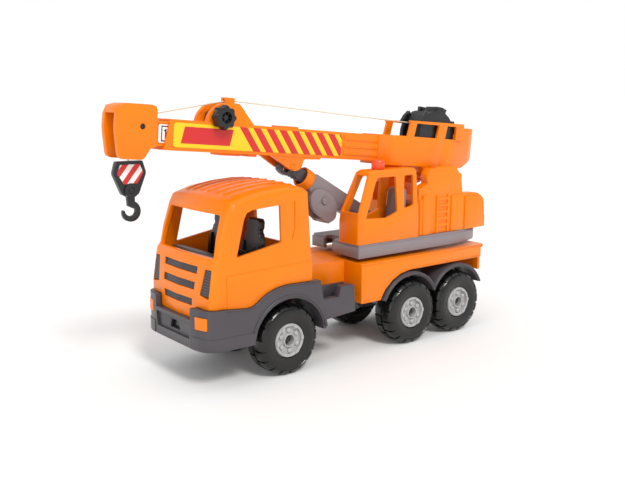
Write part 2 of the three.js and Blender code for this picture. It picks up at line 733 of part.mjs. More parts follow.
// ---- boom, in its own frame: y along the boom from the pivot, z square to it ----
function sleeveBody() {
  const beam = prism('x', [
    [SLEEVE_FRONT, SLEEVE_TOP], [SLEEVE_REAR - GAP, SLEEVE_TOP], [SLEEVE_REAR - GAP, SLEEVE_LOW],
    [SLEEVE_FRONT - 5.2, SLEEVE_LOW],
  ], [-SLEEVE_X, SLEEVE_X]);
  const bore = block([-BORE_X, BORE_X], [-340, -84], [BORE_LOW, BORE_TOP]);
  const cheek = prism('x', [
    [-279, 40], [-278, 46, 4], [-272, 55, 6], [-262, 59, 4], [-246, 59, 3], [-229.5, 41],
    [-229.5, 40],
  ], [7, 12]);
  const bridge = block([-7.5, 7.5], [-256, -246], [56.5, 59]);
  const guide = block([-4.5, 4.5], [GUIDE.v - 5, GUIDE.v + 4], [58, 63.8]);
  const web = prism('x', [
    [-211, 16], [-190, 4.5, 4], [-181, 0.2, 4], [-172.5, 3, 3], [-170, 12.5, 2], [-150, 13],
    [-149, 16],
  ], [8.5, 12.4]);
  const tabs = [
    block([-8, 8], [-196, -176], [40.5, 42.6]),
    block([-8, 8], [-262, -240], [12.3, 15]),
    block([-8, 8], [-232, -222], [12.3, 15]),
  ];
  const ribs = [19, 26.3, 33.6].map((z) => (
    block([-SLEEVE_X - 0.8, SLEEVE_X + 0.8], [-122, SLEEVE_REAR - GAP], [z, z + 4.6])
  ));
  return cut(
    join(beam, cheek, mirrorX(cheek), bridge, guide, web, mirrorX(web), ...tabs, ...ribs),
    bore,
    block([-5.2, 5.2], [KNOB.v - 8, KNOB.v + 8], [BORE_TOP - 1, SLEEVE_TOP + 1]),
    bar('x', KNOB.shaft + 0.35, [-20, 20], [KNOB.v, KNOB.w], 16),
    bar('x', 2.9, [-20, 20], [ROD_TOP.v, ROD_TOP.w], 16),
    block([-1.3, 1.3], [GUIDE.v - 8, GUIDE.v + 8], [GUIDE.w - 2.2, GUIDE.w + 1]),
    block([-5.6, 5.6], [-201, -165], [SLEEVE_LOW - 1, SLEEVE_LOW + EYE_RELIEF]),
  );
}

// The housing is flush with the sleeve on the right and flares out on the left,
// where the thumbwheel is; a guard stands on each side of the wheel.
function housingBody() {
  const plan = (inset) => [
    [SLEEVE_X - inset, SLEEVE_REAR + inset, 1], [HOUSING_LEFT - inset, -66 + inset, 3],
    [HOUSING_LEFT - inset, 20, 10], [HOUSING_LEFT - 6 - inset, 58 - inset, 8],
    [10, 71 - inset, 4], [HOUSING_RIGHT + inset, 71 - inset, 4],
    [HOUSING_RIGHT + inset, SLEEVE_REAR + inset, 1],
  ];
  const walls = (low, top) => cut(
    prism('z', plan(0), [low, top], 3),
    prism('z', plan(HOUSING_WALL), [low - 1, top + 1], 3),
  );
  const floor = prism('z', plan(0), [HOUSING_LOW, HOUSING_LOW + 2.5], 3);
  const rearWall = common(walls(TUB_TOP - 1, 55.5), block([-30, 30], [37, 80], [30, 60]));
  const guard = (x) => {
    const posts = [[-46.5, -38, 3.5], [-3.5, 9, 3], [26, 38, 0]].map(([from, to, lean]) => prism('x', [
      [from, TUB_TOP - 1], [to, TUB_TOP - 1], [to + lean, RAIL_LOW + 1],
      [from + lean, RAIL_LOW + 1],
    ], x));
    const rail = prism('x', [
      [-45, 58.2, 1.5], [-44, RAIL_LOW], [38, RAIL_LOW], [38, 59.4, 1.5],
    ], x);
    return join(rail, ...posts);
  };
  const lug = [[-22, HOUSING_LOW + 1], [-9, -8, 5], [9, -8, 5], [22, HOUSING_LOW + 1]];
  const chamfer = prism('x', [[40, HOUSING_LOW - 1], [80, HOUSING_LOW - 1], [80, 30]], [-40, 40]);
  return cut(
    join(
      walls(HOUSING_LOW, TUB_TOP),
      floor,
      rearWall,
      guard([HOUSING_LEFT - HOUSING_WALL, HOUSING_LEFT]),
      guard([HOUSING_RIGHT, HOUSING_RIGHT + HOUSING_WALL]),
      prism('x', lug, [18, 26]),
      prism('x', lug, [-13, -5]),
      bar('x', 8, [-29, -6], [0, 0], 24),
    ),
    chamfer,
    bar('x', PIVOT_RADIUS + 0.35, [-60, 60], [0, 0], 20),
    bar('x', WINCH.pin + 0.35, [HOUSING_RIGHT + 1, HOUSING_LEFT - 1], [WINCH.v, WINCH.w], 16),
    block([-3, 3], [-90, -50], [TUB_TOP, 70]),
  );
}

function winchBody() {
  const teeth = 6;
  const share = 0.46;
  const turn = THREE.MathUtils.degToRad(80);
  const step = (Math.PI * 2) / teeth;
  const at = (radius, angle) => [
    WINCH.v + radius * Math.cos(angle), WINCH.w + radius * Math.sin(angle),
  ];
  const toothed = (from, to) => {
    const corners = [];
    for (let i = 0; i < teeth; i += 1) {
      const middle = turn + i * step;
      const half = (step * share) / 2;
      corners.push(at(WINCH.notch, middle - half), at(WINCH.radius, middle - half));
      corners.push(at(WINCH.radius, middle), at(WINCH.radius, middle + half));
      corners.push(at(WINCH.notch, middle + half), at(WINCH.notch, middle + step / 2));
    }
    return prism('x', corners, [from, to]);
  };
  return join(
    toothed(3.5, 21),
    toothed(-9, -4.5),
    bar('x', WINCH.core, [-6, 6], [WINCH.v, WINCH.w], 24),
    bar('x', WINCH.pin, [HOUSING_RIGHT + 1.4, HOUSING_LEFT - 1.4], [WINCH.v, WINCH.w], 16),
  );
}

const windingBody = () => cut(
  bar('x', WINDING_RADIUS, [-4.1, 3.1], [WINCH.v, WINCH.w], 24),
  bar('x', WINCH.core + 0.45, [-6, 6], [WINCH.v, WINCH.w], 24),
);

function knobBody() {
  const lobes = 8;
  const corners = [];
  for (let i = 0; i < lobes * 4; i += 1) {
    const swell = Math.cos((i / 4) * Math.PI * 2);
    const radius = KNOB.radius - 0.9 + 0.9 * swell;
    const angle = (i / (lobes * 4)) * Math.PI * 2;
    corners.push([KNOB.v + radius * Math.cos(angle), KNOB.w + radius * Math.sin(angle)]);
  }
  const x0 = SLEEVE_X + 1.3;
  return cut(
    join(
      prism('x', corners, [x0, x0 + 9]),
      bar('x', KNOB.shaft, [-13.5, x0 + 1], [KNOB.v, KNOB.w], 16),
      bar('x', KNOB.pinion, [-4.5, 4.5], [KNOB.v, KNOB.w], 12),
    ),
    bar('x', 5, [x0 + 5, x0 + 20], [KNOB.v, KNOB.w], 16),
  );
}

const labelBody = () => prism('x', [
  [-312, 17.5, 3], [-312, 38.5, 3], [-125.5, 38.5, 3], [-125.5, 17.5, 3],
], [SLEEVE_X + GAP, SLEEVE_X + GAP + 0.5]);

function boomInnerBody() {
  const x = BORE_X - 0.4;
  const low = BORE_LOW + GAP;
  const top = BORE_TOP - GAP;
  return cut(
    block([-x, x], [HEAD_REAR + GAP, INNER_REAR], [low, top]),
    block([-x + 2.4, x - 2.4], [HEAD_REAR + 6, INNER_REAR + 2], [low + 2.4, top - 2.4]),
    block([x - 1, x + 1], [-325, -226], [20, 36.5]),
  );
}

const stickerBody = () => block([BORE_X - 1.1, BORE_X - 0.6], [-324.6, -226.4], [20.4, 36.1]);

function headBody() {
  const outer = prism('x', [
    [HEAD_REAR, 51.5, 5], [HEAD_REAR, 17], [-333, 15.5, 2], [-339, 5.5, 3], [-361, 5.5, 4],
    [HEAD_FRONT, 30, 4], [HEAD_FRONT + 1, 51, 9],
  ], [-HEAD_X, HEAD_X]);
  return cut(
    outer,
    prism('x', [
      [-331, 0], [-331, 46], [-356, 46], [-370, 40], [-370, 0],
    ], [-HEAD_SLOT_X, HEAD_SLOT_X]),
    bar('x', 2.5, [-20, 20], [SHEAVE.v, SHEAVE.w], 16),
    block([-1.6, 1.6], [-336, -320], [38.5, 47]),
  );
}

function sheaveBody() {
  const { groove, flange, halfWidth } = SHEAVE;
  return join(
    turned([
      [0, -halfWidth], [flange, -halfWidth], [flange, -halfWidth + 0.8], [groove, -0.9], [groove, 0.9],
      [flange, halfWidth - 0.8], [flange, halfWidth], [0, halfWidth],
    ], 20),
    bar('x', 2.1, [-HEAD_X + GAP, HEAD_X - GAP], [0, 0], 16),
  );
}

// ---- luffing strut, in its own frame: y along the strut from its foot, z square to it ----
function barrelBody() {
  const outer = prism('x', [
    [-99, 9, 2], [-30, 9, 6], [-4, 7, 4], [7, 5, 3], [7, -5, 3], [-4, -7, 4], [-40, -9, 4],
    [-62, -10], [-66, -16, 3], [-90, -16, 4], [-95, -9, 2], [-99, -9, 2],
  ], [-7.5, 7.5]);
  return cut(
    outer,
    block([-5.4, 5.4], [-101, -24], [-6.4, 6.4]),
    bar('x', 3.3, [-20, 20], [0, 0], 16),
    bar('x', 2.9, [-20, 20], [LEVER_PIN.v, LEVER_PIN.w], 16),
  );
}

const collarBody = () => cut(
  bar('y', 10.3, [-109.5, -99.3], [0, 0], 24),
  bar('y', 8.2, [-120, -90], [0, 0], 24),
);

function leverBody() {
  const plate = prism('x', [
    [-94, -4, 5], [-97, -16, 6], [-86, -26, 5], [-71, -27, 2], [-63, -29, 3], [-56, -20, 4],
    [-62, -6, 6], [-78, 0, 6],
  ], [7.9, 10.9]);
  const web = block([-8.5, 8.5], [-69, -60], [-27.5, -24]);
  return cut(
    join(plate, mirrorX(plate), web),
    bar('x', 2.9, [-20, 20], [LEVER_PIN.v, LEVER_PIN.w], 16),
  );
}

function rodBody() {
  const teeth = [];
  for (let v = -36; v > -124; v -= 4) {
    teeth.push([v, -6], [v - 3.2, -4.2]);
  }
  const shaft = prism('x', [[-124, 6], [-30, 6], [-30, -4.2], ...teeth, [-124, -5]], [-5, 5]);
  const eye = prism('x', [
    [-STRUT_LENGTH + 9, EYE_TOP, 5], [-STRUT_LENGTH + 9, -8, 5], [-STRUT_LENGTH - 7, -8, 6],
    [-STRUT_LENGTH - 7, EYE_TOP, 6],
  ], [-4.5, 4.5]);
  const slot = prism('x', [
    [-STRUT_LENGTH + 3.6, 6, 3], [-STRUT_LENGTH + 3.6, -6, 3], [-STRUT_LENGTH - 3.6, -6, 3],
    [-STRUT_LENGTH - 3.6, 6, 3],
  ], [-10, 10]);
  return cut(join(shaft, eye), slot);
}

// ---- hook, hanging plumb ----
function hookBlockBody() {
  const y = (offset) => HOOK_Y + offset;
  const plate = prism('x', [
    [y(11.7), HOOK_TOP], [y(14.9), 190.2, 2], [y(7), 171.5, 2], [y(-7), 171.5, 2],
    [y(-14.9), 190.2, 2], [y(-11.7), HOOK_TOP],
  ], [-3, 3]);
  return cut(
    join(plate, bar('x', 6.2, [-5, 5], [HOOK_Y, HOOK_PIN_Z], 20)),
    bar('z', 1.3, [188, 210], [0, HOOK_Y], 12),
    bar('x', 2.7, [-10, 10], [HOOK_Y, HOOK_PIN_Z], 16),
    block([-2.2, 2.2], [y(-4.6), y(4.6)], [160, 182.3]),
  );
}

function hookBody() {
  const centreZ = 158;
  const middle = 6.6;
  const thick = 4.6;
  const points = [];
  for (let i = 0; i <= 20; i += 1) {
    const angle = THREE.MathUtils.degToRad(70 - i * 13);
    points.push([HOOK_Y + middle * Math.cos(angle), centreZ + middle * Math.sin(angle)]);
  }
  const rim = (offset) => points.map(([y, z], i) => {
    const width = (thick / 2) * (i > 15 ? 1 - (i - 15) * 0.14 : 1) * offset;
    const outward = new THREE.Vector2(y - HOOK_Y, z - centreZ).setLength(width);
    return [y + outward.x, z + outward.y];
  });
  const bowl = prism('x', [...rim(1), ...rim(-1).reverse()], [-1.9, 1.9]);
  const shank = prism('x', [
    [HOOK_Y - 2.3, 162.5], [HOOK_Y + 2.6, 160], [HOOK_Y + 4, 164.5], [HOOK_Y + 3.6, 178, 2],
    [HOOK_Y - 3.6, 178, 2],
  ], [-1.9, 1.9]);
  return cut(join(bowl, shank), bar('x', 2.7, [-10, 10], [HOOK_Y, HOOK_PIN_Z], 16));
}

// ---- the hoist cord ----
// The point where the cord meets the top of the winding, coming from the guide.
function windingTangent() {
  const radius = WINDING_RADIUS + CORD_RADIUS + 0.4;
  const toGuide = new THREE.Vector2(GUIDE.v - WINCH.v, GUIDE.w - WINCH.w);
  const angle = toGuide.angle() - Math.acos(radius / toGuide.length());
  return [WINCH.v + radius * Math.cos(angle), WINCH.w + radius * Math.sin(angle)];
}

const along = (v, w) => new THREE.Vector3(0, v, w);

function cordRearBody() {
  const [v, w] = windingTangent();
  const points = [along(v, w), along(v * 0.7 + GUIDE.v * 0.3, w * 0.7 + GUIDE.w * 0.3 - 0.5),
    along(v * 0.4 + GUIDE.v * 0.6, w * 0.4 + GUIDE.w * 0.6 - 0.5), along(GUIDE.v + 0.2, GUIDE.w)];
  return tube(points, CORD_RADIUS, 12);
}

function cordFrontBody() {
  const radius = SHEAVE.groove + CORD_RADIUS + 0.3;
  const points = [along(GUIDE.v - 0.2, GUIDE.w)];
  const plumb = 180 + THREE.MathUtils.radToDeg(BOOM_PITCH);
  const arcSteps = 7;
  for (let step = 0; step <= arcSteps; step += 1) {
    const angle = THREE.MathUtils.degToRad(82 + (plumb - 82) * (step / arcSteps));
    points.push(along(SHEAVE.v + radius * Math.cos(angle), SHEAVE.w + radius * Math.sin(angle)));
  }
  const end = points.at(-1);
  for (const drop of [CORD_RUN_DOWN / 2, CORD_RUN_DOWN]) {
    const [back, down] = [drop * Math.sin(BOOM_PITCH), drop * Math.cos(BOOM_PITCH)];
    points.push(along(end.y + back, end.z - down));
  }
  return tube(points, CORD_RADIUS, 28);
}

const cordDropBody = () => bar('z', CORD_RADIUS, [192, SWING_Z], [0, HOOK_Y], 8);

// ---- assembly ----
function chassis() {
  const group = new THREE.Group();
  group.add(
    part('chassis_frame', chassisBody(), 'charcoal'),
    part('front_skirt', frontSkirtBody(), 'charcoal'),
    part('lamp_left', lampBody(), 'orange'),
    mirrored('lamp_right', lampBody(), 'orange'),
    part('mudguard_left', mudguardBody(), 'charcoal'),
    mirrored('mudguard_right', mudguardBody(), 'charcoal'),
    part('deck', deckBody(), 'orange'),
    part('cab_shell', cabBody(), 'orange'),
    part('grille_insert', grilleBody(), 'charcoal'),
    part('cab_interior', cabInteriorBody(), 'charcoal'),
  );
  for (const [side, x] of [['left', SEAT_X], ['right', -SEAT_X]]) {
    const seat = part(`seat_${side}`, seatBody(CAB_FLOOR_Z + 2.5 + GAP), 'black');
    seat.position.set(x, SEAT_Y, 0);
    group.add(seat);
  }
  const wheel = part('steering_wheel', steeringWheelBody(), 'black');
  wheel.position.set(SEAT_X, STEERING.y, STEERING.z);
  wheel.rotation.x = STEERING.tilt;
  group.add(wheel);
  return group;
}

function strut() {
  const group = new THREE.Group();
  group.position.set(0, FOOT_Y, FOOT_Z);
  group.rotation.x = -STRUT_PITCH;
  group.add(
    part('strut_barrel', barrelBody(), 'grey'),
    part('strut_collar', collarBody(), 'orange'),
    part('strut_rod', rodBody(), 'charcoal'),
    part('release_lever', leverBody(), 'grey'),
    part('lever_pin', bar('x', 2.6, [-11.8, 11.8], [LEVER_PIN.v, LEVER_PIN.w], 16), 'grey'),
  );
  return group;
}

function boom() {
  const group = new THREE.Group();
  group.position.set(0, PIVOT_Y, PIVOT_Z);
  group.rotation.x = -BOOM_PITCH;
  const sheave = part('head_sheave', sheaveBody(), 'black');
  sheave.position.set(0, SHEAVE.v, SHEAVE.w);
  group.add(
    part('boom_sleeve', sleeveBody(), 'orange'),
    part('winch_housing', housingBody(), 'orange'),
    part('label_left', labelBody(), 'label'),
    mirrored('label_right', labelBody(), 'label'),
    part('rod_pin', bar('x', 2.6, [-12.8, 12.8], [ROD_TOP.v, ROD_TOP.w], 16), 'orange'),
    part('winch_drum', winchBody(), 'black'),
    part('cord_winding', windingBody(), 'cord'),
    part('telescope_knob', knobBody(), 'black'),
    part('cord_rear', cordRearBody(), 'cord'),
    part('boom_inner', boomInnerBody(), 'orange'),
    part('scale_sticker', stickerBody(), 'label'),
    part('boom_head', headBody(), 'orange'),
    part('cord_front', cordFrontBody(), 'cord'),
    sheave,
  );
  return group;
}

function turret() {
  const group = new THREE.Group();
  const beacon = part('beacon', beaconBody(), 'beacon');
  beacon.position.set(31, 129, 181 + GAP);
  group.add(
    part('turret_base', turretBaseBody(), 'grey'),
    part('slew_retainer', retainerBody(), 'grey'),
    part('operator_cab', operatorCabBody(), 'orange'),
    part('operator_console', consoleBody(), 'grey'),
    part('operator_seat', operatorSeatBody(), 'grey'),
    part('engine_housing', engineHousingBody(), 'orange'),
    part('boom_pivot_pin', bar('x', PIVOT_RADIUS, [-38.6, 38.6], [PIVOT_Y, PIVOT_Z], 20), 'orange'),
    part('strut_foot_pin', bar('x', 3, [-11.9, 11.9], [FOOT_Y, FOOT_Z], 16), 'grey'),
    beacon,
    strut(),
    boom(),
  );
  return group;
}

function hook() {
  const group = new THREE.Group();
  group.add(
    part('cord_drop', cordDropBody(), 'cord'),
    part('hook_block', hookBlockBody(), 'black'),
    part('hook', hookBody(), 'black'),
    part('hook_pin', bar('x', 2.4, [-5.4, 5.4], [HOOK_Y, HOOK_PIN_Z], 16), 'black'),
  );
  return group;
}

const truck = new THREE.Group();
truck.position.y = -CENTRE_Y;
truck.add(chassis(), turret(), hook());
for (const [place, y] of Object.entries(AXLES_Y)) {
  truck.add(axleSet(place, y));
}

export default truck;
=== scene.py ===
"""Toy crane truck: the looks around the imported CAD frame.

Metres, in the part's own frame: +Z up, the nose along -Y, the side that is looked at along +X.
Sizes below are millimetres measured from the front axle, and mm() turns them into that frame.
On the boom they run along it (V) and square to it (W) from its pivot, and along() turns them back.
"""
import json
import math

import bmesh
import bpy
from mathutils import Matrix, Vector


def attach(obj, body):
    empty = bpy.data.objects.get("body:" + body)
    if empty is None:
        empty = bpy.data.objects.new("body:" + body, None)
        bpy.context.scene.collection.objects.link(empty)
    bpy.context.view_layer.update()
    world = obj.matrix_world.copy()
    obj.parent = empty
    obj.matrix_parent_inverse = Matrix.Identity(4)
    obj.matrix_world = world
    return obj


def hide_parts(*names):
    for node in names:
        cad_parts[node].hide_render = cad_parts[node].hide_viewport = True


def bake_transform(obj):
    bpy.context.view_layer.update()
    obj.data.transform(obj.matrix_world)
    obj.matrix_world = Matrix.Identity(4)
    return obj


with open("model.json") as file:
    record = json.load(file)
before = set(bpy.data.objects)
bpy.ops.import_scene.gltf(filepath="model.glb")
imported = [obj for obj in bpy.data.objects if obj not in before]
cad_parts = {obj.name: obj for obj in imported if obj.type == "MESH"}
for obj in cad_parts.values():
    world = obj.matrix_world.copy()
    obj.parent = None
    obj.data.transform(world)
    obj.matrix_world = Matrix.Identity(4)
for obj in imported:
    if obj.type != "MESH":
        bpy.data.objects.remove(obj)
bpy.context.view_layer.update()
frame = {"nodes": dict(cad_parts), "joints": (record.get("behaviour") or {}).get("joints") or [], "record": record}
nodes = frame["nodes"]
joint_of = {joint["name"]: joint for joint in frame["joints"]}

CENTRE_Y = -joint_of["front_axle_spin"]["pos_m"][1] * 1000   # front axle to the frame's origin


def mm(x, y, z):
    """A point in millimetres from the front axle, as a point of the frame."""
    return Vector((x, y - CENTRE_Y, z)) / 1000


def joint_place(name):
    """Where a joint is, in millimetres from the front axle."""
    x, y, z = joint_of[name]["pos_m"]
    return Vector((x * 1000, y * 1000 + CENTRE_Y, z * 1000))


def slide_pitch(name):
    """How steeply a slide's axis rises towards the nose."""
    _, y, z = joint_of[name]["axis"]
    return math.atan2(z, -y)


# ---------------------------------------------------------------- camera
CAMERA_AT = (636, -430.6, 258.1)
CAMERA_AZIMUTH = 51.8
CAMERA_DOWN = 11
CAMERA_LENS = 47.2


def add_camera():
    """The photo's camera, worked out from the wheels and the deck."""
    data = bpy.data.cameras.new("camera")
    data.lens = CAMERA_LENS
    data.sensor_width = 36
    data.clip_start = 0.01
    camera = bpy.data.objects.new("camera", data)
    camera.location = mm(*CAMERA_AT)
    camera.rotation_euler = (math.radians(90 - CAMERA_DOWN), 0, math.radians(CAMERA_AZIMUTH))
    bpy.context.scene.collection.objects.link(camera)
    bpy.context.scene.camera = camera


# ---------------------------------------------------------------- light and floor
def sun(name, towards, power, softness, colour=(1, 1, 1)):
    """A distant soft light that shines along towards."""
    data = bpy.data.lights.new(name, "SUN")
    data.energy = power
    data.angle = math.radians(softness)
    data.color = colour
    lamp = bpy.data.objects.new(name, data)
    lamp.rotation_euler = Vector(towards).to_track_quat("-Z", "Y").to_euler()
    bpy.context.scene.collection.objects.link(lamp)


# How bright the studio is at a height, where 0 is the horizon and 1 is straight up.
SKY_LEVELS = ((0.3, 1.0), (0.45, 0.34), (0.6, 0.42), (0.72, 0.95))


def add_studio():
    """A soft key from the camera's right, a weak fill, and a sky with a dim band half way up."""
    sun("key", (-0.78, 0.14, -0.84), power=1.6, softness=16, colour=(1, 0.98, 0.94))
    sun("fill", (-0.25, 0.85, -0.5), power=0.45, softness=50)
    world = bpy.data.worlds.new("studio")
    world.use_nodes = True
    tree = world.node_tree
    background = tree.nodes["Background"]
    place = tree.nodes.new("ShaderNodeTexCoord")
    split = tree.nodes.new("ShaderNodeSeparateXYZ")
    ramp = tree.nodes.new("ShaderNodeValToRGB")
    tree.links.new(place.outputs["Generated"], split.inputs["Vector"])
    tree.links.new(split.outputs["Z"], ramp.inputs["Fac"])
    stops = ramp.color_ramp.elements
    stops[0].position, stops[0].color = 0.0, (1, 1, 1, 1)
    stops[1].position, stops[1].color = 1.0, (0.95, 0.95, 0.95, 1)
    for position, level in SKY_LEVELS:
        stops.new(position).color = (level, level, level, 1)
    tree.links.new(ramp.outputs["Color"], background.inputs["Color"])
    background.inputs["Strength"].default_value = 1
    bpy.context.scene.world = world
    bpy.context.scene.view_settings.view_transform = "Standard"


FLOOR_RADIUS = 40   # metres


def add_floor():
    """A wide white sheet under the truck."""
    mesh = bmesh.new()
    bmesh.ops.create_circle(mesh, cap_ends=True, segments=96, radius=FLOOR_RADIUS)
    data = bpy.data.meshes.new("floor")
    mesh.to_mesh(data)
    mesh.free()
    floor = bpy.data.objects.new("floor", data)
    bpy.context.scene.collection.objects.link(floor)
    material = bpy.data.materials.new("floor_paper")
    material.use_nodes = True
    shader = material.node_tree.nodes["Principled BSDF"]
    shader.inputs["Base Color"].default_value = (0.9, 0.9, 0.9, 1)
    shader.inputs["Roughness"].default_value = 0.8
    data.materials.append(material)


# ---------------------------------------------------------------- materials
def plastic(name, colour, roughness, grain, grain_size=1400, tint=0.06, shine=0.5):
    """Moulded plastic: a slight flow marbling, fine grain and a gloss that varies."""
    material = bpy.data.materials.new(name)
    material.use_nodes = True
    tree = material.node_tree
    shader = tree.nodes["Principled BSDF"]
    place = tree.nodes.new("ShaderNodeTexCoord")
    flow = tree.nodes.new("ShaderNodeTexNoise")
    flow.inputs["Scale"].default_value = 14
    flow.inputs["Detail"].default_value = 3
    flow.inputs["Distortion"].default_value = 0.6
    tree.links.new(place.outputs["Object"], flow.inputs["Vector"])
    ramp = tree.nodes.new("ShaderNodeValToRGB")
    dark = [c * (1 - tint) for c in colour]
    light = [min(1, c * (1 + tint * 0.6)) for c in colour]
    ramp.color_ramp.elements[0].position = 0.3
    ramp.color_ramp.elements[0].color = (*dark, 1)
    ramp.color_ramp.elements[1].position = 0.7
    ramp.color_ramp.elements[1].color = (*light, 1)
    tree.links.new(flow.outputs["Fac"], ramp.inputs["Fac"])
    tree.links.new(ramp.outputs["Color"], shader.inputs["Base Color"])
    gloss = tree.nodes.new("ShaderNodeMapRange")
    gloss.inputs["To Min"].default_value = roughness - 0.05
    gloss.inputs["To Max"].default_value = roughness + 0.07
    tree.links.new(flow.outputs["Fac"], gloss.inputs["Value"])
    tree.links.new(gloss.outputs["Result"], shader.inputs["Roughness"])
    fine = tree.nodes.new("ShaderNodeTexNoise")
    fine.inputs["Scale"].default_value = grain_size
    fine.inputs["Detail"].default_value = 2
    tree.links.new(place.outputs["Object"], fine.inputs["Vector"])
    bump = tree.nodes.new("ShaderNodeBump")
    bump.inputs["Strength"].default_value = grain
    bump.inputs["Distance"].default_value = 0.0001
    tree.links.new(fine.outputs["Fac"], bump.inputs["Height"])
    tree.links.new(bump.outputs["Normal"], shader.inputs["Normal"])
    shader.inputs["IOR"].default_value = 1.48
    shader.inputs["Specular IOR Level"].default_value = shine
    return material


def srgb(*channels):
    """A colour given from 0 to 255 in sRGB, as linear light."""
    return tuple(
        ((c / 255 + 0.055) / 1.055) ** 2.4 if c > 10 else c / 255 / 12.92 for c in channels
    )


LOOKS = {
    "orange_plastic": {"colour": srgb(241, 124, 0), "roughness": 0.3, "grain": 0.12, "grain_size": 900,
                       "tint": 0.04, "shine": 0.36},
    "charcoal_plastic": {"colour": srgb(69, 65, 70), "roughness": 0.36, "grain": 0.3},
    "grey_plastic": {"colour": srgb(132, 122, 126), "roughness": 0.38, "grain": 0.2},
    "black_plastic": {"colour": srgb(26, 27, 29), "roughness": 0.24, "grain": 0.2},
    "tyre_plastic": {"colour": srgb(15, 16, 15), "roughness": 0.17, "grain": 0.12, "grain_size": 900},
    "hub_plastic": {"colour": srgb(168, 167, 168), "roughness": 0.34, "grain": 0.15},
    "axle_steel": {"colour": srgb(180, 180, 184), "roughness": 0.3, "grain": 0.1},
    "label_film": {"colour": srgb(248, 202, 22), "roughness": 0.3, "grain": 0.05},
    "beacon_plastic": {"colour": srgb(240, 84, 42), "roughness": 0.28, "grain": 0.05},
    "label_red": {"colour": srgb(206, 36, 36), "roughness": 0.3, "grain": 0.05},
    "label_white": {"colour": srgb(240, 238, 234), "roughness": 0.3, "grain": 0.05},
    "cord_fibre": {"colour": srgb(222, 210, 184), "roughness": 0.85, "grain": 0.5},
}
MATERIALS = {name: plastic(name, **look) for name, look in LOOKS.items()}

EDGE_WIDTH = 0.0005   # metres, like the widths of single nodes below
EDGE_WIDTHS = {
    "cab_shell": 0.0012, "deck": 0.0009, "front_skirt": 0.0009, "operator_cab": 0.0007,
    "turret_base": 0.0007, "boom_head": 0.0009, "strut_barrel": 0.001, "release_lever": 0.0007,
    "grille_insert": 0.0003, "strut_rod": 0.0003, "beacon": 0.0006,
}


def soften(node, width):
    """Moulded edges on a CAD node: its flat faces are joined and its edges rounded."""
    thing = nodes[node]
    weld = thing.modifiers.new("weld", "WELD")
    weld.merge_threshold = 0.00001
    flat = thing.modifiers.new("flat", "DECIMATE")
    flat.decimate_type = "DISSOLVE"
    flat.angle_limit = math.radians(1.5)
    round_edges = thing.modifiers.new("round_edges", "BEVEL")
    round_edges.width = width
    round_edges.segments = 2
    round_edges.limit_method = "ANGLE"
    round_edges.angle_limit = math.radians(32)
    round_edges.harden_normals = True
    for face in thing.data.polygons:
        face.use_smooth = True


def dress_nodes():
    """Every CAD node gets the material of its slot and moulded edges."""
    slot_of = {entry["node"]: entry["material_slot"] for entry in frame["record"]["subparts"]}
    for name, thing in nodes.items():
        thing.data.materials.clear()
        thing.data.materials.append(MATERIALS[slot_of[name]])
        soften(name, EDGE_WIDTHS.get(name, EDGE_WIDTH))


# ---------------------------------------------------------------- shapes
TRUCK = Matrix.Translation((0, -CENTRE_Y / 1000, 0)) @ Matrix.Scale(0.001, 4)
BOOM_PITCH = slide_pitch("telescope")
PIVOT = joint_place("luff")
BOOM = TRUCK @ Matrix.Translation(PIVOT) @ Matrix.Rotation(-BOOM_PITCH, 4, "X")
AXLES_Y = {place: joint_place(f"{place}_axle_spin").y for place in ("front", "middle", "rear")}
WHEEL_Z = joint_place("front_axle_spin").z
TRACK_X = 43.5


def along(v, w):
    """A point given along and square to the boom, as millimetres from the front axle."""
    return PIVOT + Matrix.Rotation(-BOOM_PITCH, 3, "X") @ Vector((0, v, w))


def on_boom(name):
    """Where a joint is, along and square to the boom in millimetres from the boom's pivot."""
    place = Matrix.Rotation(BOOM_PITCH, 3, "X") @ (joint_place(name) - PIVOT)
    return place.y, place.z


def prism(mesh, outline, low, high):
    """A flat outline of (y, z) corners pushed along X from low to high."""
    bottom = [mesh.verts.new((low, a, b)) for a, b in outline]
    top = [mesh.verts.new((high, a, b)) for a, b in outline]
    mesh.faces.new(reversed(bottom))
    mesh.faces.new(top)
    for i, corner in enumerate(bottom):
        j = (i + 1) % len(bottom)
        mesh.faces.new((corner, bottom[j], top[j], top[i]))


def block(mesh, x, y, z):
    """A box given by its stretches along X, Y and Z."""
    prism(mesh, [(y[0], z[0]), (y[1], z[0]), (y[1], z[1]), (y[0], z[1])], x[0], x[1])


def turned(mesh, profile, steps, centre=(0, 0)):
    """A closed profile of (radius, x) corners turned about the X axis."""
    rings = []
    for step in range(steps):
        angle = step / steps * math.tau
        rings.append([
            mesh.verts.new((x, centre[0] + r * math.cos(angle), centre[1] + r * math.sin(angle)))
            for r, x in profile
        ])
    for step, ring in enumerate(rings):
        following = rings[(step + 1) % steps]
        for i in range(len(profile)):
            j = (i + 1) % len(profile)
            mesh.faces.new((ring[i], ring[j], following[j], following[i]))


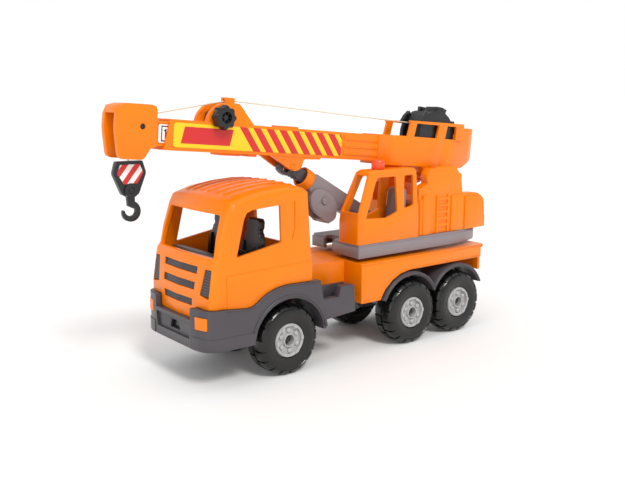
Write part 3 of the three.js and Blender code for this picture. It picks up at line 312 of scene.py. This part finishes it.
def swept(mesh, points, radius, wave=None, lengthwise=1, sides=8):
    """A closed tube along points. wave(step, angle) swells its section."""
    points = [Vector(p) for p in points]
    fine = []
    for a, b in zip(points, points[1:]):
        fine += [a.lerp(b, i / lengthwise) for i in range(lengthwise)]
    fine.append(points[-1])
    rings = []
    normal = Vector((1, 0, 0))
    for i, point in enumerate(fine):
        ahead = fine[min(i + 1, len(fine) - 1)] - fine[max(i - 1, 0)]
        ahead.normalize()
        if abs(ahead.dot(normal)) > 0.95:
            normal = Vector((0, 0, 1))
        side = (normal - ahead * normal.dot(ahead)).normalized()
        other = ahead.cross(side)
        ring = []
        for k in range(sides):
            angle = k / sides * math.tau
            r = radius * (wave(i, angle) if wave else 1)
            ring.append(mesh.verts.new(point + (side * math.cos(angle) + other * math.sin(angle)) * r))
        rings.append(ring)
    for ring, following in zip(rings, rings[1:]):
        for k in range(sides):
            m = (k + 1) % sides
            mesh.faces.new((ring[k], ring[m], following[m], following[k]))
    mesh.faces.new(reversed(rings[0]))
    mesh.faces.new(rings[-1])


def clipped(outline, clip):
    """The part of a flat outline inside a convex, counter-clockwise clip outline."""
    result = list(outline)
    for i, (ax, ay) in enumerate(clip):
        bx, by = clip[(i + 1) % len(clip)]
        inside = [(bx - ax) * (y - ay) - (by - ay) * (x - ax) >= 0 for x, y in result]
        kept = []
        for k, (px, py) in enumerate(result):
            m = (k + 1) % len(result)
            qx, qy = result[m]
            if inside[k]:
                kept.append((px, py))
            if inside[k] != inside[m]:
                dp = (bx - ax) * (py - ay) - (by - ay) * (px - ax)
                dq = (bx - ax) * (qy - ay) - (by - ay) * (qx - ax)
                t = dp / (dp - dq)
                kept.append((px + (qx - px) * t, py + (qy - py) * t))
        result = kept
        if len(result) < 3:
            return []
    return result


def rounded(y, z, radius, steps=5):
    """A rectangle outline with rounded corners, counter-clockwise."""
    corners = [(y[1], z[0], -90), (y[1], z[1], 0), (y[0], z[1], 90), (y[0], z[0], 180)]
    outline = []
    for a, b, turn in corners:
        ca = a - radius if a == y[1] else a + radius
        cb = b - radius if b == z[1] else b + radius
        for step in range(steps + 1):
            angle = math.radians(turn + 90 * step / steps)
            outline.append((ca + radius * math.cos(angle), cb + radius * math.sin(angle)))
    return outline


def add_piece(name, mesh, place, material, body, replaced=(), edge=0.0002, smooth=True):
    """A finished piece: mesh in millimetres of its place, riding on a body."""
    bmesh.ops.recalc_face_normals(mesh, faces=mesh.faces)
    data = bpy.data.meshes.new(name)
    mesh.transform(place)
    mesh.to_mesh(data)
    mesh.free()
    data.materials.append(MATERIALS[material])
    thing = bpy.data.objects.new(name, data)
    bpy.context.scene.collection.objects.link(thing)
    for face in data.polygons:
        face.use_smooth = smooth
    if edge:
        bevel = thing.modifiers.new("round_edges", "BEVEL")
        bevel.width = edge
        bevel.segments = 2
        bevel.limit_method = "ANGLE"
        bevel.angle_limit = math.radians(35)
        bevel.harden_normals = True
    if body:
        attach(thing, body)
    if replaced:
        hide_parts(*replaced)
    return thing


def wheel_place(place, sign):
    """A wheel's own frame, whose +X points outwards on either side."""
    turn = Matrix.Identity(4) if sign > 0 else Matrix.Rotation(math.pi, 4, "Z")
    return TRUCK @ Matrix.Translation((sign * TRACK_X, AXLES_Y[place], WHEEL_Z)) @ turn


# ---------------------------------------------------------------- wheels
TYRE_PROFILE = [
    (16.7, -11.5), (20, -12.4), (25, -12.8), (28.2, -12.4), (30.6, -10.8), (31.5, -8.5), (31.7, 0),
    (31.5, 8.5), (30.6, 10.8), (28.2, 12.4), (25, 12.8), (20, 12.4), (17.8, 11.6), (16.7, 11.6),
]
LUGS = 18
LUG_SHARE = 0.82   # of the way from one block to the next
LUG_SECTION = [(27.6, 12.2), (28.4, 12.95), (30.6, 12.0), (32.6, 9.6), (33, 7.4), (33, 1.1), (31, 1.1)]
HUB_PROFILE = [
    (5.2, -9.5), (16, -9.5), (16, 11.2), (15.4, 12.2), (14.2, 12.4), (13.3, 11.6), (12.9, 9.4),
    (7.2, 9.4), (6.6, 10.2), (6.4, 11.6), (5.6, 12), (5.2, 11.6),
]
HUB_BUMPS = 6
BUMP_CIRCLE = 9.9
BUMP_PROFILE = [(0.05, 9), (2.5, 9), (2.5, 10.2), (2.1, 11.1), (1.2, 11.6), (0.05, 11.7)]
FIRST_BUMP = 94   # degrees, like FIRST_KEY
FIRST_KEY = 64
KEY_OUTLINE = ((12.6, -2), (15.2, -2), (15.2, 2), (12.6, 2))
KEY_X = (11.9, 13.1)
# Profile of the black plug in the hub's middle hole: painted shade.
HOLE_SHADE_PROFILE = [(0.05, 3), (5, 3), (5, 4.5), (2.6, 4.5), (2.4, 8.6), (0.05, 8.8)]


def tyre_mesh():
    """A smooth tyre with a row of tread blocks on each shoulder, half a step apart."""
    mesh = bmesh.new()
    turned(mesh, TYRE_PROFILE, 72)
    for i in range(LUGS):
        for side, shift in ((1, 0), (-1, 0.5)):
            lug(mesh, (i + shift) / LUGS * math.tau, side)
    return mesh


def lug(mesh, angle, side):
    """One shoulder block of the tread, from the side wall to near the middle."""
    half = math.tau / LUGS * LUG_SHARE / 2
    rings = []
    for step in range(5):
        spread = angle + half * (step / 2 - 1)
        rings.append([
            mesh.verts.new((side * x, r * math.cos(spread), r * math.sin(spread)))
            for r, x in LUG_SECTION
        ])
    for ring, following in zip(rings, rings[1:]):
        for i in range(len(LUG_SECTION)):
            j = (i + 1) % len(LUG_SECTION)
            mesh.faces.new((ring[i], ring[j], following[j], following[i]))
    mesh.faces.new(rings[0])
    mesh.faces.new(rings[-1])


def hub_mesh():
    """A hub with a ring of round bumps in its dish and square keys on its rim."""
    mesh = bmesh.new()
    turned(mesh, HUB_PROFILE, 60)
    for i in range(HUB_BUMPS):
        turn = 360 / HUB_BUMPS * i
        bump = math.radians(FIRST_BUMP + turn)
        turned(mesh, BUMP_PROFILE, 16, (BUMP_CIRCLE * math.cos(bump), BUMP_CIRCLE * math.sin(bump)))
        key = math.radians(FIRST_KEY + turn)
        tangent = Vector((-math.sin(key), math.cos(key)))
        outward = Vector((math.cos(key), math.sin(key)))
        corners = [outward * r + tangent * t for r, t in KEY_OUTLINE]
        prism(mesh, [tuple(corner) for corner in corners], *KEY_X)
    return mesh


def hole_shade_mesh():
    """A black plug set back in the middle hole of the hub: painted shade that darkens the hole."""
    mesh = bmesh.new()
    turned(mesh, HOLE_SHADE_PROFILE, 24)
    return mesh


def add_wheels():
    """Six wheels: a tread, a hub and a black plug of painted shade in the hub's hole, all riding on the axle."""
    for place in AXLES_Y:
        for side, sign in (("left", 1), ("right", -1)):
            where = wheel_place(place, sign)
            body = f"{place}_axle"
            add_piece(f"tread_{place}_{side}", tyre_mesh(), where, "tyre_plastic", body,
                      [f"tyre_{place}_{side}"], 0.0003)
            add_piece(f"wheel_{place}_{side}", hub_mesh(), where, "hub_plastic", body,
                      [f"hub_{place}_{side}"])
            # A black plug in the hub's hole: painted shade.
            add_piece(f"hub_hole_shade_{place}_{side}", hole_shade_mesh(), where, "black_plastic", body)


# ---------------------------------------------------------------- boom
LABEL_V = (-312, -125.5)
LABEL_W = (17.5, 38.5)
LABEL_CORNER = 3
LABEL_FILM_X = (13.05, 13.5)
LABEL_PRINT_X = (13.42, 13.58)
PANEL = [(-305, 21), (-255.5, 21), (-252, 35.5), (-301.5, 35.5)]
STRIPES = 9
STRIPE_START = -246
STRIPE_PITCH = 14.6
STRIPE_WIDTH = 8.4
STRIPE_LEAN = 16


def sided(sign, low, high):
    """A stretch of X on the side that sign points to, from its lower end to its upper one."""
    return sorted((sign * low, sign * high))


def print_stripe(mesh, foot, head, width, level, field, x):
    """The part of a leaning stripe on a convex field. foot and head are its near edge's two ends."""
    low, high = level
    shown = clipped([(foot, low), (foot + width, low), (head + width, high), (head, high)], field)
    if shown:
        prism(mesh, shown, *x)


def add_labels():
    """The yellow side labels, with a plain red panel and leaning red stripes."""
    field = rounded(LABEL_V, LABEL_W, LABEL_CORNER)
    for side, sign in (("left", 1), ("right", -1)):
        plate = bmesh.new()
        prism(plate, field, *sided(sign, *LABEL_FILM_X))
        add_piece(f"label_field_{side}", plate, BOOM, "label_film", "boom",
                  [f"label_{side}"], 0.00005)
        print_on = bmesh.new()
        x = sided(sign, *LABEL_PRINT_X)
        prism(print_on, PANEL, *x)
        for i in range(STRIPES):
            head = STRIPE_START + STRIPE_PITCH * i
            print_stripe(print_on, head + STRIPE_LEAN, head, STRIPE_WIDTH, LABEL_W, field, x)
        add_piece(f"label_print_{side}", print_on, BOOM, "label_red", "boom",
                  edge=0, smooth=False)


def digit_strokes(number):
    """Strokes of a block digit in a 5 by 8 cell, as (left, bottom, right, top)."""
    strokes = {
        1: [(2, 0, 3.2, 8), (1, 6, 2.1, 7.2)],
        2: [(0, 6.8, 5, 8), (3.8, 4, 5, 6.9), (0, 3.4, 5, 4.6), (0, 1, 1.2, 3.5), (0, 0, 5, 1.2)],
        3: [(0, 6.8, 5, 8), (3.8, 1, 5, 6.9), (1, 3.4, 3.9, 4.6), (0, 0, 5, 1.2)],
        4: [(0, 3.4, 1.2, 8), (0, 3.3, 5, 4.5), (3.8, 0, 5, 8)],
    }
    return strokes[number]


SCALE_V = (-324.6, -226.4)
SCALE_W = (20.4, 36.1)
SCALE_X = (9.55, 10.0)
CELL_START = -322
CELL_PITCH = 24
CELL_WIDTH = 20
CELL_W = (21.6, 34.9)
CELL_LINE = 1
DIGIT_LEFT = 1.6
DIGIT_FOOT = 24.2


def add_scale():
    """The white scale on the inner beam: four outlined cells with block numbers."""
    plate = bmesh.new()
    prism(plate, rounded(SCALE_V, SCALE_W, 1.5), *SCALE_X)
    add_piece("scale_field", plate, BOOM, "label_white", "boom_tip", ["scale_sticker"],
              0.00005)
    marks = bmesh.new()
    x = (SCALE_X[1] - 0.05, SCALE_X[1] + 0.06)
    low, high = CELL_W
    for i, number in enumerate((1, 2, 3, 4)):
        left = CELL_START + CELL_PITCH * i
        right = left + CELL_WIDTH
        for w in (low, high - CELL_LINE):
            prism(marks, rounded((left, right), (w, w + CELL_LINE), 0.3), *x)
        for v in (left, right - CELL_LINE):
            prism(marks, rounded((v, v + CELL_LINE), (low + 0.8, high - 0.8), 0.3), *x)
        for a, b, c, d in digit_strokes(number):
            v = left + DIGIT_LEFT
            block(marks, x, (v + a, v + c), (DIGIT_FOOT + b, DIGIT_FOOT + d))
    add_piece("scale_print", marks, BOOM, "black_plastic", "boom_tip",
              edge=0, smooth=False)


def lobed(radius, depth, lobes, steps=96):
    """A circle with soft lobes, as points around its middle."""
    outline = []
    for i in range(steps):
        angle = i / steps * math.tau
        r = radius - depth + depth * math.cos(lobes * angle)
        outline.append((r * math.cos(angle), r * math.sin(angle)))
    return outline


KNOB = on_boom("knob_turn")
KNOB_RADIUS = 11
KNOB_LOBES = 8
KNOB_LOBE_DEPTH = 0.95
KNOB_LAYERS = [(14.3, 10.2), (15.1, 11), (21.4, 11), (22.8, 10.2), (23.3, 8.8), (23.3, 5.1),
               (19.2, 4.7), (19.2, 2.6), (21.6, 2.2)]
KNOB_SHAFT = [(0.05, -13.5), (2.9, -13.5), (2.9, 15), (0.05, 15)]
KNOB_PINION = [(0.05, -4.4), (6, -4.4), (6, 4.4), (0.05, 4.4)]
KNOB_STUDS = 6
STUD_CIRCLE = 3.6
STUD_PROFILE = [(0.05, 19), (0.55, 19), (0.55, 22.6), (0.05, 22.6)]


def add_knob():
    """The telescope knob: eight soft lobes, a crowned face and a sunk socket with small studs."""
    mesh = bmesh.new()
    rings = []
    for x, radius in KNOB_LAYERS:
        depth = KNOB_LOBE_DEPTH * min(1, (radius / KNOB_RADIUS) ** 4)
        rings.append([
            mesh.verts.new((x, KNOB[0] + a, KNOB[1] + b)) for a, b in lobed(radius, depth, KNOB_LOBES)
        ])
    for ring, following in zip(rings, rings[1:]):
        for i in range(len(ring)):
            j = (i + 1) % len(ring)
            mesh.faces.new((ring[i], ring[j], following[j], following[i]))
    mesh.faces.new(rings[0])
    mesh.faces.new(rings[-1])
    turned(mesh, KNOB_SHAFT, 20, KNOB)
    turned(mesh, KNOB_PINION, 20, KNOB)
    for i in range(KNOB_STUDS):
        angle = i / KNOB_STUDS * math.tau
        middle = (KNOB[0] + STUD_CIRCLE * math.cos(angle), KNOB[1] + STUD_CIRCLE * math.sin(angle))
        turned(mesh, STUD_PROFILE, 8, middle)
    add_piece("knob_grip", mesh, BOOM, "black_plastic", "knob", ["telescope_knob"])


WINCH = on_boom("winch_turn")
WOUND_RADIUS = 11.3   # where the rear run leaves the turns
WINDING_TURNS = 5
WINDING_RADIUS = 10.35   # the middle of the turns' cord
WINDING_CORD = 0.62
WINDING_X = (-3.4, 2.4)
CORD_RADIUS = 0.6


def twist(step, angle):
    """A three-strand lay along the cord."""
    return 0.86 + 0.14 * abs(math.cos(1.5 * angle - step * 0.8))


def add_winding():
    """The turns of cord on the winch, as one helix."""
    steps = WINDING_TURNS * 48
    start, end = WINDING_X
    points = []
    for i in range(steps + 1):
        angle = WINDING_TURNS * math.tau * i / steps
        x = start + (end - start) * i / steps
        points.append((x, WINCH[0] + WINDING_RADIUS * math.cos(angle),
                       WINCH[1] + WINDING_RADIUS * math.sin(angle)))
    mesh = bmesh.new()
    swept(mesh, points, WINDING_CORD, twist)
    add_piece("cord_turns", mesh, BOOM, "cord_fibre", "winch", ["cord_winding"], 0)


GUIDE = (-251, 61.4)
SHEAVE = on_boom("sheave_turn")
SHEAVE_RADIUS = 7.9
SHEAVE_TOP = 82   # degrees, where the cord's front run meets the sheave
HOOK_Y = joint_place("line_swing").y
SWING_Z = joint_place("line_swing").z
CORD_END_Z = 192


def winding_tangent():
    """Where the rear run leaves the winding, along and square to the boom."""
    to_guide = Vector((GUIDE[0] - WINCH[0], GUIDE[1] - WINCH[1]))
    angle = math.atan2(to_guide.y, to_guide.x) - math.acos(WOUND_RADIUS / to_guide.length)
    return WINCH[0] + WOUND_RADIUS * math.cos(angle), WINCH[1] + WOUND_RADIUS * math.sin(angle)


def on_sheave(degrees):
    """A point of the cord's path around the head sheave."""
    angle = math.radians(degrees)
    return along(SHEAVE[0] + SHEAVE_RADIUS * math.cos(angle),
                 SHEAVE[1] + SHEAVE_RADIUS * math.sin(angle))


def add_rear_cord():
    """The straight run from the winch to the guide on top of the boom."""
    mesh = bmesh.new()
    swept(mesh, [along(*winding_tangent()), along(*GUIDE)], CORD_RADIUS, twist, 320)
    add_piece("cord_run_rear", mesh, TRUCK, "cord_fibre", "boom", ["cord_rear"], 0)


def add_front_cord():
    """The run from the guide over the head sheave and down to the top of the hook's line."""
    guide = along(*GUIDE)
    tangent = on_sheave(SHEAVE_TOP)
    plumb = 180 + math.degrees(BOOM_PITCH)
    points = [guide.lerp(tangent, i / 90) for i in range(90)]
    points += [on_sheave(SHEAVE_TOP + (plumb - SHEAVE_TOP) * step / 16) for step in range(17)]
    last = points[-1]
    low = Vector((0, HOOK_Y, SWING_Z))
    points += [last.lerp(low, i / 24) for i in range(1, 25)]
    mesh = bmesh.new()
    swept(mesh, points, CORD_RADIUS, twist)
    piece = add_piece("cord_run_front", mesh, TRUCK, "cord_fibre", None, ["cord_front"], 0)
    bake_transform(piece)


def add_hanging_cord():
    """The run that lengthens as the hook goes down."""
    mesh = bmesh.new()
    swept(mesh, [(0, HOOK_Y, SWING_Z), (0, HOOK_Y, CORD_END_Z)], CORD_RADIUS, twist, 60)
    piece = add_piece("cord_run_drop", mesh, TRUCK, "cord_fibre", None, ["cord_drop"], 0)
    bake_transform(piece)


# ---------------------------------------------------------------- hook block
HOOK_FACE = [(-6, 181.5), (6, 181.5), (11.8, 190.3), (8.9, 197.6), (-8.9, 197.6), (-11.8, 190.3)]
HOOK_FIELD_X = (2.8, 3.25)
HOOK_STRIPE_X = (3.1, 3.36)
HOOK_STRIPE_Z = (180, 200)
HOOK_STRIPE_PITCH = 11.4
HOOK_STRIPE_WIDTH = 5.8
HOOK_STRIPE_LEAN = 16.6
HOOK_STRIPE_SHIFT = 0.75


def add_hook_stripes():
    """Red and white warning stripes on both faces of the hook block."""
    field = [(HOOK_Y + y, z) for y, z in HOOK_FACE]
    for side, sign in (("left", 1), ("right", -1)):
        white = bmesh.new()
        prism(white, field, *sided(sign, *HOOK_FIELD_X))
        add_piece(f"hook_field_{side}", white, TRUCK, "label_white", "hook", edge=0.00005)
        red = bmesh.new()
        x = sided(sign, *HOOK_STRIPE_X)
        for i in range(-2, 3):
            middle = HOOK_Y + HOOK_STRIPE_SHIFT + HOOK_STRIPE_PITCH * i - HOOK_STRIPE_WIDTH / 2
            foot, head = middle - HOOK_STRIPE_LEAN / 2, middle + HOOK_STRIPE_LEAN / 2
            print_stripe(red, foot, head, HOOK_STRIPE_WIDTH, HOOK_STRIPE_Z, field, x)
        add_piece(f"hook_stripes_{side}", red, TRUCK, "label_red", "hook",
                  edge=0, smooth=False)


# ---------------------------------------------------------------- trim
def arc(centre, radius, start, end, x, steps=40):
    """Points of an arc in a plane square to X, from one angle in degrees to another."""
    points = []
    for step in range(steps + 1):
        angle = math.radians(start + (end - start) * step / steps)
        points.append((x, centre[0] + radius * math.cos(angle), centre[1] + radius * math.sin(angle)))
    return points


def eased(corners, steps=8):
    """A line of (y, z, radius) corners, each rounded over its radius."""
    line = [Vector(corners[0][:2])]
    for before, (y, z, radius), after in zip(corners, corners[1:-1], corners[2:]):
        corner = Vector((y, z))
        start = corner + (Vector(before[:2]) - corner).normalized() * radius
        end = corner + (Vector(after[:2]) - corner).normalized() * radius
        for step in range(steps + 1):
            t = step / steps
            line.append(start * (1 - t) ** 2 + corner * 2 * t * (1 - t) + end * t ** 2)
    line.append(Vector(corners[-1][:2]))
    return [tuple(point) for point in line]


def add_bead(name, paths, radius, material):
    """A round bead of the chassis along one or more paths."""
    mesh = bmesh.new()
    for path in paths:
        swept(mesh, path, radius)
    add_piece(name, mesh, TRUCK, material, "chassis", edge=0)


def beside(line, x):
    """A line of (y, z) points as points at x."""
    return [(x, y, z) for y, z in line]


ARCH_RADIUS = 42.6
ARCH_X = 56.9
GUARD_RADIUS = 40.6
GUARD_X = 53
GUARD_SPANS = {"middle": (32, 155), "rear": (26, 148)}   # degrees
WING_LINE = [(-69, 72.6), (-41, 69.7, 7), (-25, 81.3, 10), (-6, 85.4, 8), (34, 84.2)]
WING_X = 56.8
APRON_LINE = [(95, 53), (116, 53), (122, 62), (132, 70.6), (145, 76.6), (160, 79), (264, 79)]
DECK_LINE = [(93, 90.2), (270, 90.2)]
DECK_X = 51


def add_trim():
    """The beads along the wheel arches, the mudguards, the wings and the deck's edges."""
    for side, sign in (("left", 1), ("right", -1)):
        front_arch = arc((AXLES_Y["front"], WHEEL_Z), ARCH_RADIUS, 9, 160, sign * ARCH_X)
        add_bead(f"arch_rim_{side}", [front_arch], 1.3, "charcoal_plastic")
        guards = [arc((AXLES_Y[place], WHEEL_Z), GUARD_RADIUS, *span, sign * GUARD_X)
                  for place, span in GUARD_SPANS.items()]
        add_bead(f"mudguard_rim_{side}", guards, 1.1, "charcoal_plastic")
        wing = beside(eased(WING_LINE), sign * WING_X)
        add_bead(f"wing_bead_{side}", [wing], 0.75, "charcoal_plastic")
        deck = [beside(line, sign * DECK_X) for line in (APRON_LINE, DECK_LINE)]
        add_bead(f"deck_bead_{side}", deck, 0.7, "orange_plastic")


CAB_FRONT = [(60, -85.6), (84, -85.2), (106, -81.6), (114.5, -80)]
CAB_CORNER_X = 47
CAB_CORNER_RADIUS = 7
CAB_NOSE = 2.5


def cab_front(x, z):
    """Where the cab's front face lies along Y, at a distance from the middle and a height."""
    spans = list(zip(CAB_FRONT, CAB_FRONT[1:]))
    (z0, y0), (z1, y1) = next((span for span in spans if z <= span[1][0]), spans[-1])
    middle = y0 + (y1 - y0) * (z - z0) / (z1 - z0)
    past_corner = abs(x) - CAB_CORNER_X
    if past_corner <= 0:
        return middle + CAB_NOSE * abs(x) / CAB_CORNER_X
    turn_in = CAB_CORNER_RADIUS - math.sqrt(CAB_CORNER_RADIUS ** 2 - past_corner ** 2)
    return middle + CAB_NOSE + turn_in


def ribbed_panel(mesh, low, high, ribs, sink=1.3, relief=0.7, columns=12):
    """A panel set back from the cab's front, with level ribs. low and high are (z, x from, x to)."""
    rows = ribs * 6
    faces = []
    for behind in (0, 1):
        grid = []
        for row in range(rows + 1):
            share = row / rows
            z, start, end = (a + (b - a) * share for a, b in zip(low, high))
            rib = relief * (0.5 - 0.5 * math.cos(math.tau * ribs * share))
            line = []
            for column in range(columns + 1):
                x = start + (end - start) * column / columns
                y = cab_front(x, z) + sink + (1.2 if behind else -rib)
                line.append(mesh.verts.new((x, y, z)))
            grid.append(line)
        faces.append(grid)
    front, back = faces
    for grid in faces:
        for row in range(rows):
            for column in range(columns):
                mesh.faces.new((grid[row][column], grid[row][column + 1],
                                grid[row + 1][column + 1], grid[row + 1][column]))
    rim = [(0, c) for c in range(columns)] + [(r, columns) for r in range(rows)]
    rim += [(rows, c) for c in range(columns, 0, -1)] + [(r, 0) for r in range(rows, 0, -1)]
    for (r0, c0), (r1, c1) in zip(rim, rim[1:] + rim[:1]):
        mesh.faces.new((front[r0][c0], front[r1][c1], back[r1][c1], back[r0][c0]))


GRILLE_SLOTS = ((102, 108.5, 29), (88, 94.8, 27.5), (73.5, 80, 25))   # bottom, top, half width
PANEL_GAP = 0.1
LOUVRE_FOOT = (84.8, 37, 49.6)   # height, inner and outer distance from the middle
LOUVRE_HEAD = (107.6, 40.9, 49.2)


def add_grille_panels():
    """Ribbed panels in the three grille slots and in the two corner louvres."""
    mesh = bmesh.new()
    for low, high, half in GRILLE_SLOTS:
        reach = half - PANEL_GAP
        ribbed_panel(mesh, (low + PANEL_GAP, -reach, reach), (high - PANEL_GAP, -reach, reach), ribs=4)
    for sign in (1, -1):
        foot, head = ((z, sign * inner, sign * outer) for z, inner, outer in (LOUVRE_FOOT, LOUVRE_HEAD))
        ribbed_panel(mesh, foot, head, ribs=9, sink=1.1, relief=0.9)
    add_piece("grille_panels", mesh, TRUCK, "charcoal_plastic", "chassis", edge=0)


# A black plate and floor behind the tow slot: painted shade.
TOW_SHADE_X = (-13, 13)
TOW_SHADE_BACK_Y = (-84.6, -83.4)
TOW_SHADE_BACK_Z = (44, 58)
TOW_SHADE_FLOOR_Y = (-84.6, -78)
TOW_SHADE_FLOOR_Z = (43, 44.4)


def add_tow_slot_shade():
    """A black plate and floor behind the tow slot: painted shade that closes the view through it, so the slot
    reads dark.
    """
    mesh = bmesh.new()
    block(mesh, TOW_SHADE_X, TOW_SHADE_BACK_Y, TOW_SHADE_BACK_Z)
    block(mesh, TOW_SHADE_X, TOW_SHADE_FLOOR_Y, TOW_SHADE_FLOOR_Z)
    add_piece("tow_slot_shade", mesh, TRUCK, "black_plastic", "chassis")


# ---------------------------------------------------------------- seats and strut
def slab(mesh, outline, front, rear, tilt):
    """An outline of (x, z) corners with a thickness along Y, leaning back by tilt."""
    base = min(z for _, z in outline)
    ends = []
    for y in (front, rear):
        ends.append([mesh.verts.new((x, y + (z - base) * tilt, z)) for x, z in outline])
    mesh.faces.new(ends[0])
    mesh.faces.new(reversed(ends[1]))
    for i in range(len(outline)):
        j = (i + 1) % len(outline)
        mesh.faces.new((ends[0][i], ends[1][i], ends[1][j], ends[0][j]))


SEAT_X = 28
SEAT_LEAN = 0.12
SEAT_BACK = [(13, 100), (14, 112), (13.4, 125), (11.4, 131), (9.2, 133.4), (9.2, 134.6), (10.4, 136.4),
             (10.2, 142.5), (7.6, 145)]
SEAT_BACK_Y = (-25.5, -19)
SEAT_BOLSTER = [(9.5, 101), (14, 101), (14.4, 112), (13, 124), (9.8, 124)]
SEAT_BOLSTER_Y = (-28, -21)
CUSHION_Y = (-42.6, -16)
CUSHION_Z = (90, 101.5)
CUSHION_HALF = 13.5


def add_seats():
    """Two moulded seats with side bolsters, a waisted back and a headrest."""
    outline = SEAT_BACK + [(-x, z) for x, z in reversed(SEAT_BACK)]
    for side, middle in (("left", SEAT_X), ("right", -SEAT_X)):
        mesh = bmesh.new()
        slab(mesh, [(x + middle, z) for x, z in outline], *SEAT_BACK_Y, SEAT_LEAN)
        for sign in (1, -1):
            edge = [(middle + sign * x, z) for x, z in SEAT_BOLSTER]
            slab(mesh, edge[::sign], *SEAT_BOLSTER_Y, SEAT_LEAN)
        cushion = rounded(CUSHION_Y, CUSHION_Z, 3)
        prism(mesh, cushion, middle - CUSHION_HALF, middle + CUSHION_HALF)
        add_piece(f"seat_form_{side}", mesh, TRUCK, "black_plastic", "chassis",
                  [f"seat_{side}"], 0.0012)


STRUT_PITCH = slide_pitch("strut_extend")
LEVER_BOSS = [(0.05, 10.5), (3.4, 10.5), (3.4, 12.3), (2.9, 12.9), (0.05, 13)]


def add_strut_bosses():
    """The round pin heads on both faces of the release lever."""
    mesh = bmesh.new()
    for sign in (1, -1):
        turned(mesh, [(radius, sign * x) for radius, x in LEVER_BOSS], 32)
    pin = TRUCK @ Matrix.Translation(joint_place("lever_press")) @ Matrix.Rotation(-STRUT_PITCH, 4, "X")
    add_piece("lever_bosses", mesh, pin, "grey_plastic", "strut_barrel")


# ---------------------------------------------------------------- the scene
add_camera()
add_studio()
add_floor()
dress_nodes()
add_wheels()
add_labels()
add_scale()
add_knob()
add_winding()
add_rear_cord()
add_front_cord()
add_hanging_cord()
add_hook_stripes()
add_trim()
add_grille_panels()
add_tow_slot_shade()
add_strut_bosses()
add_seats()
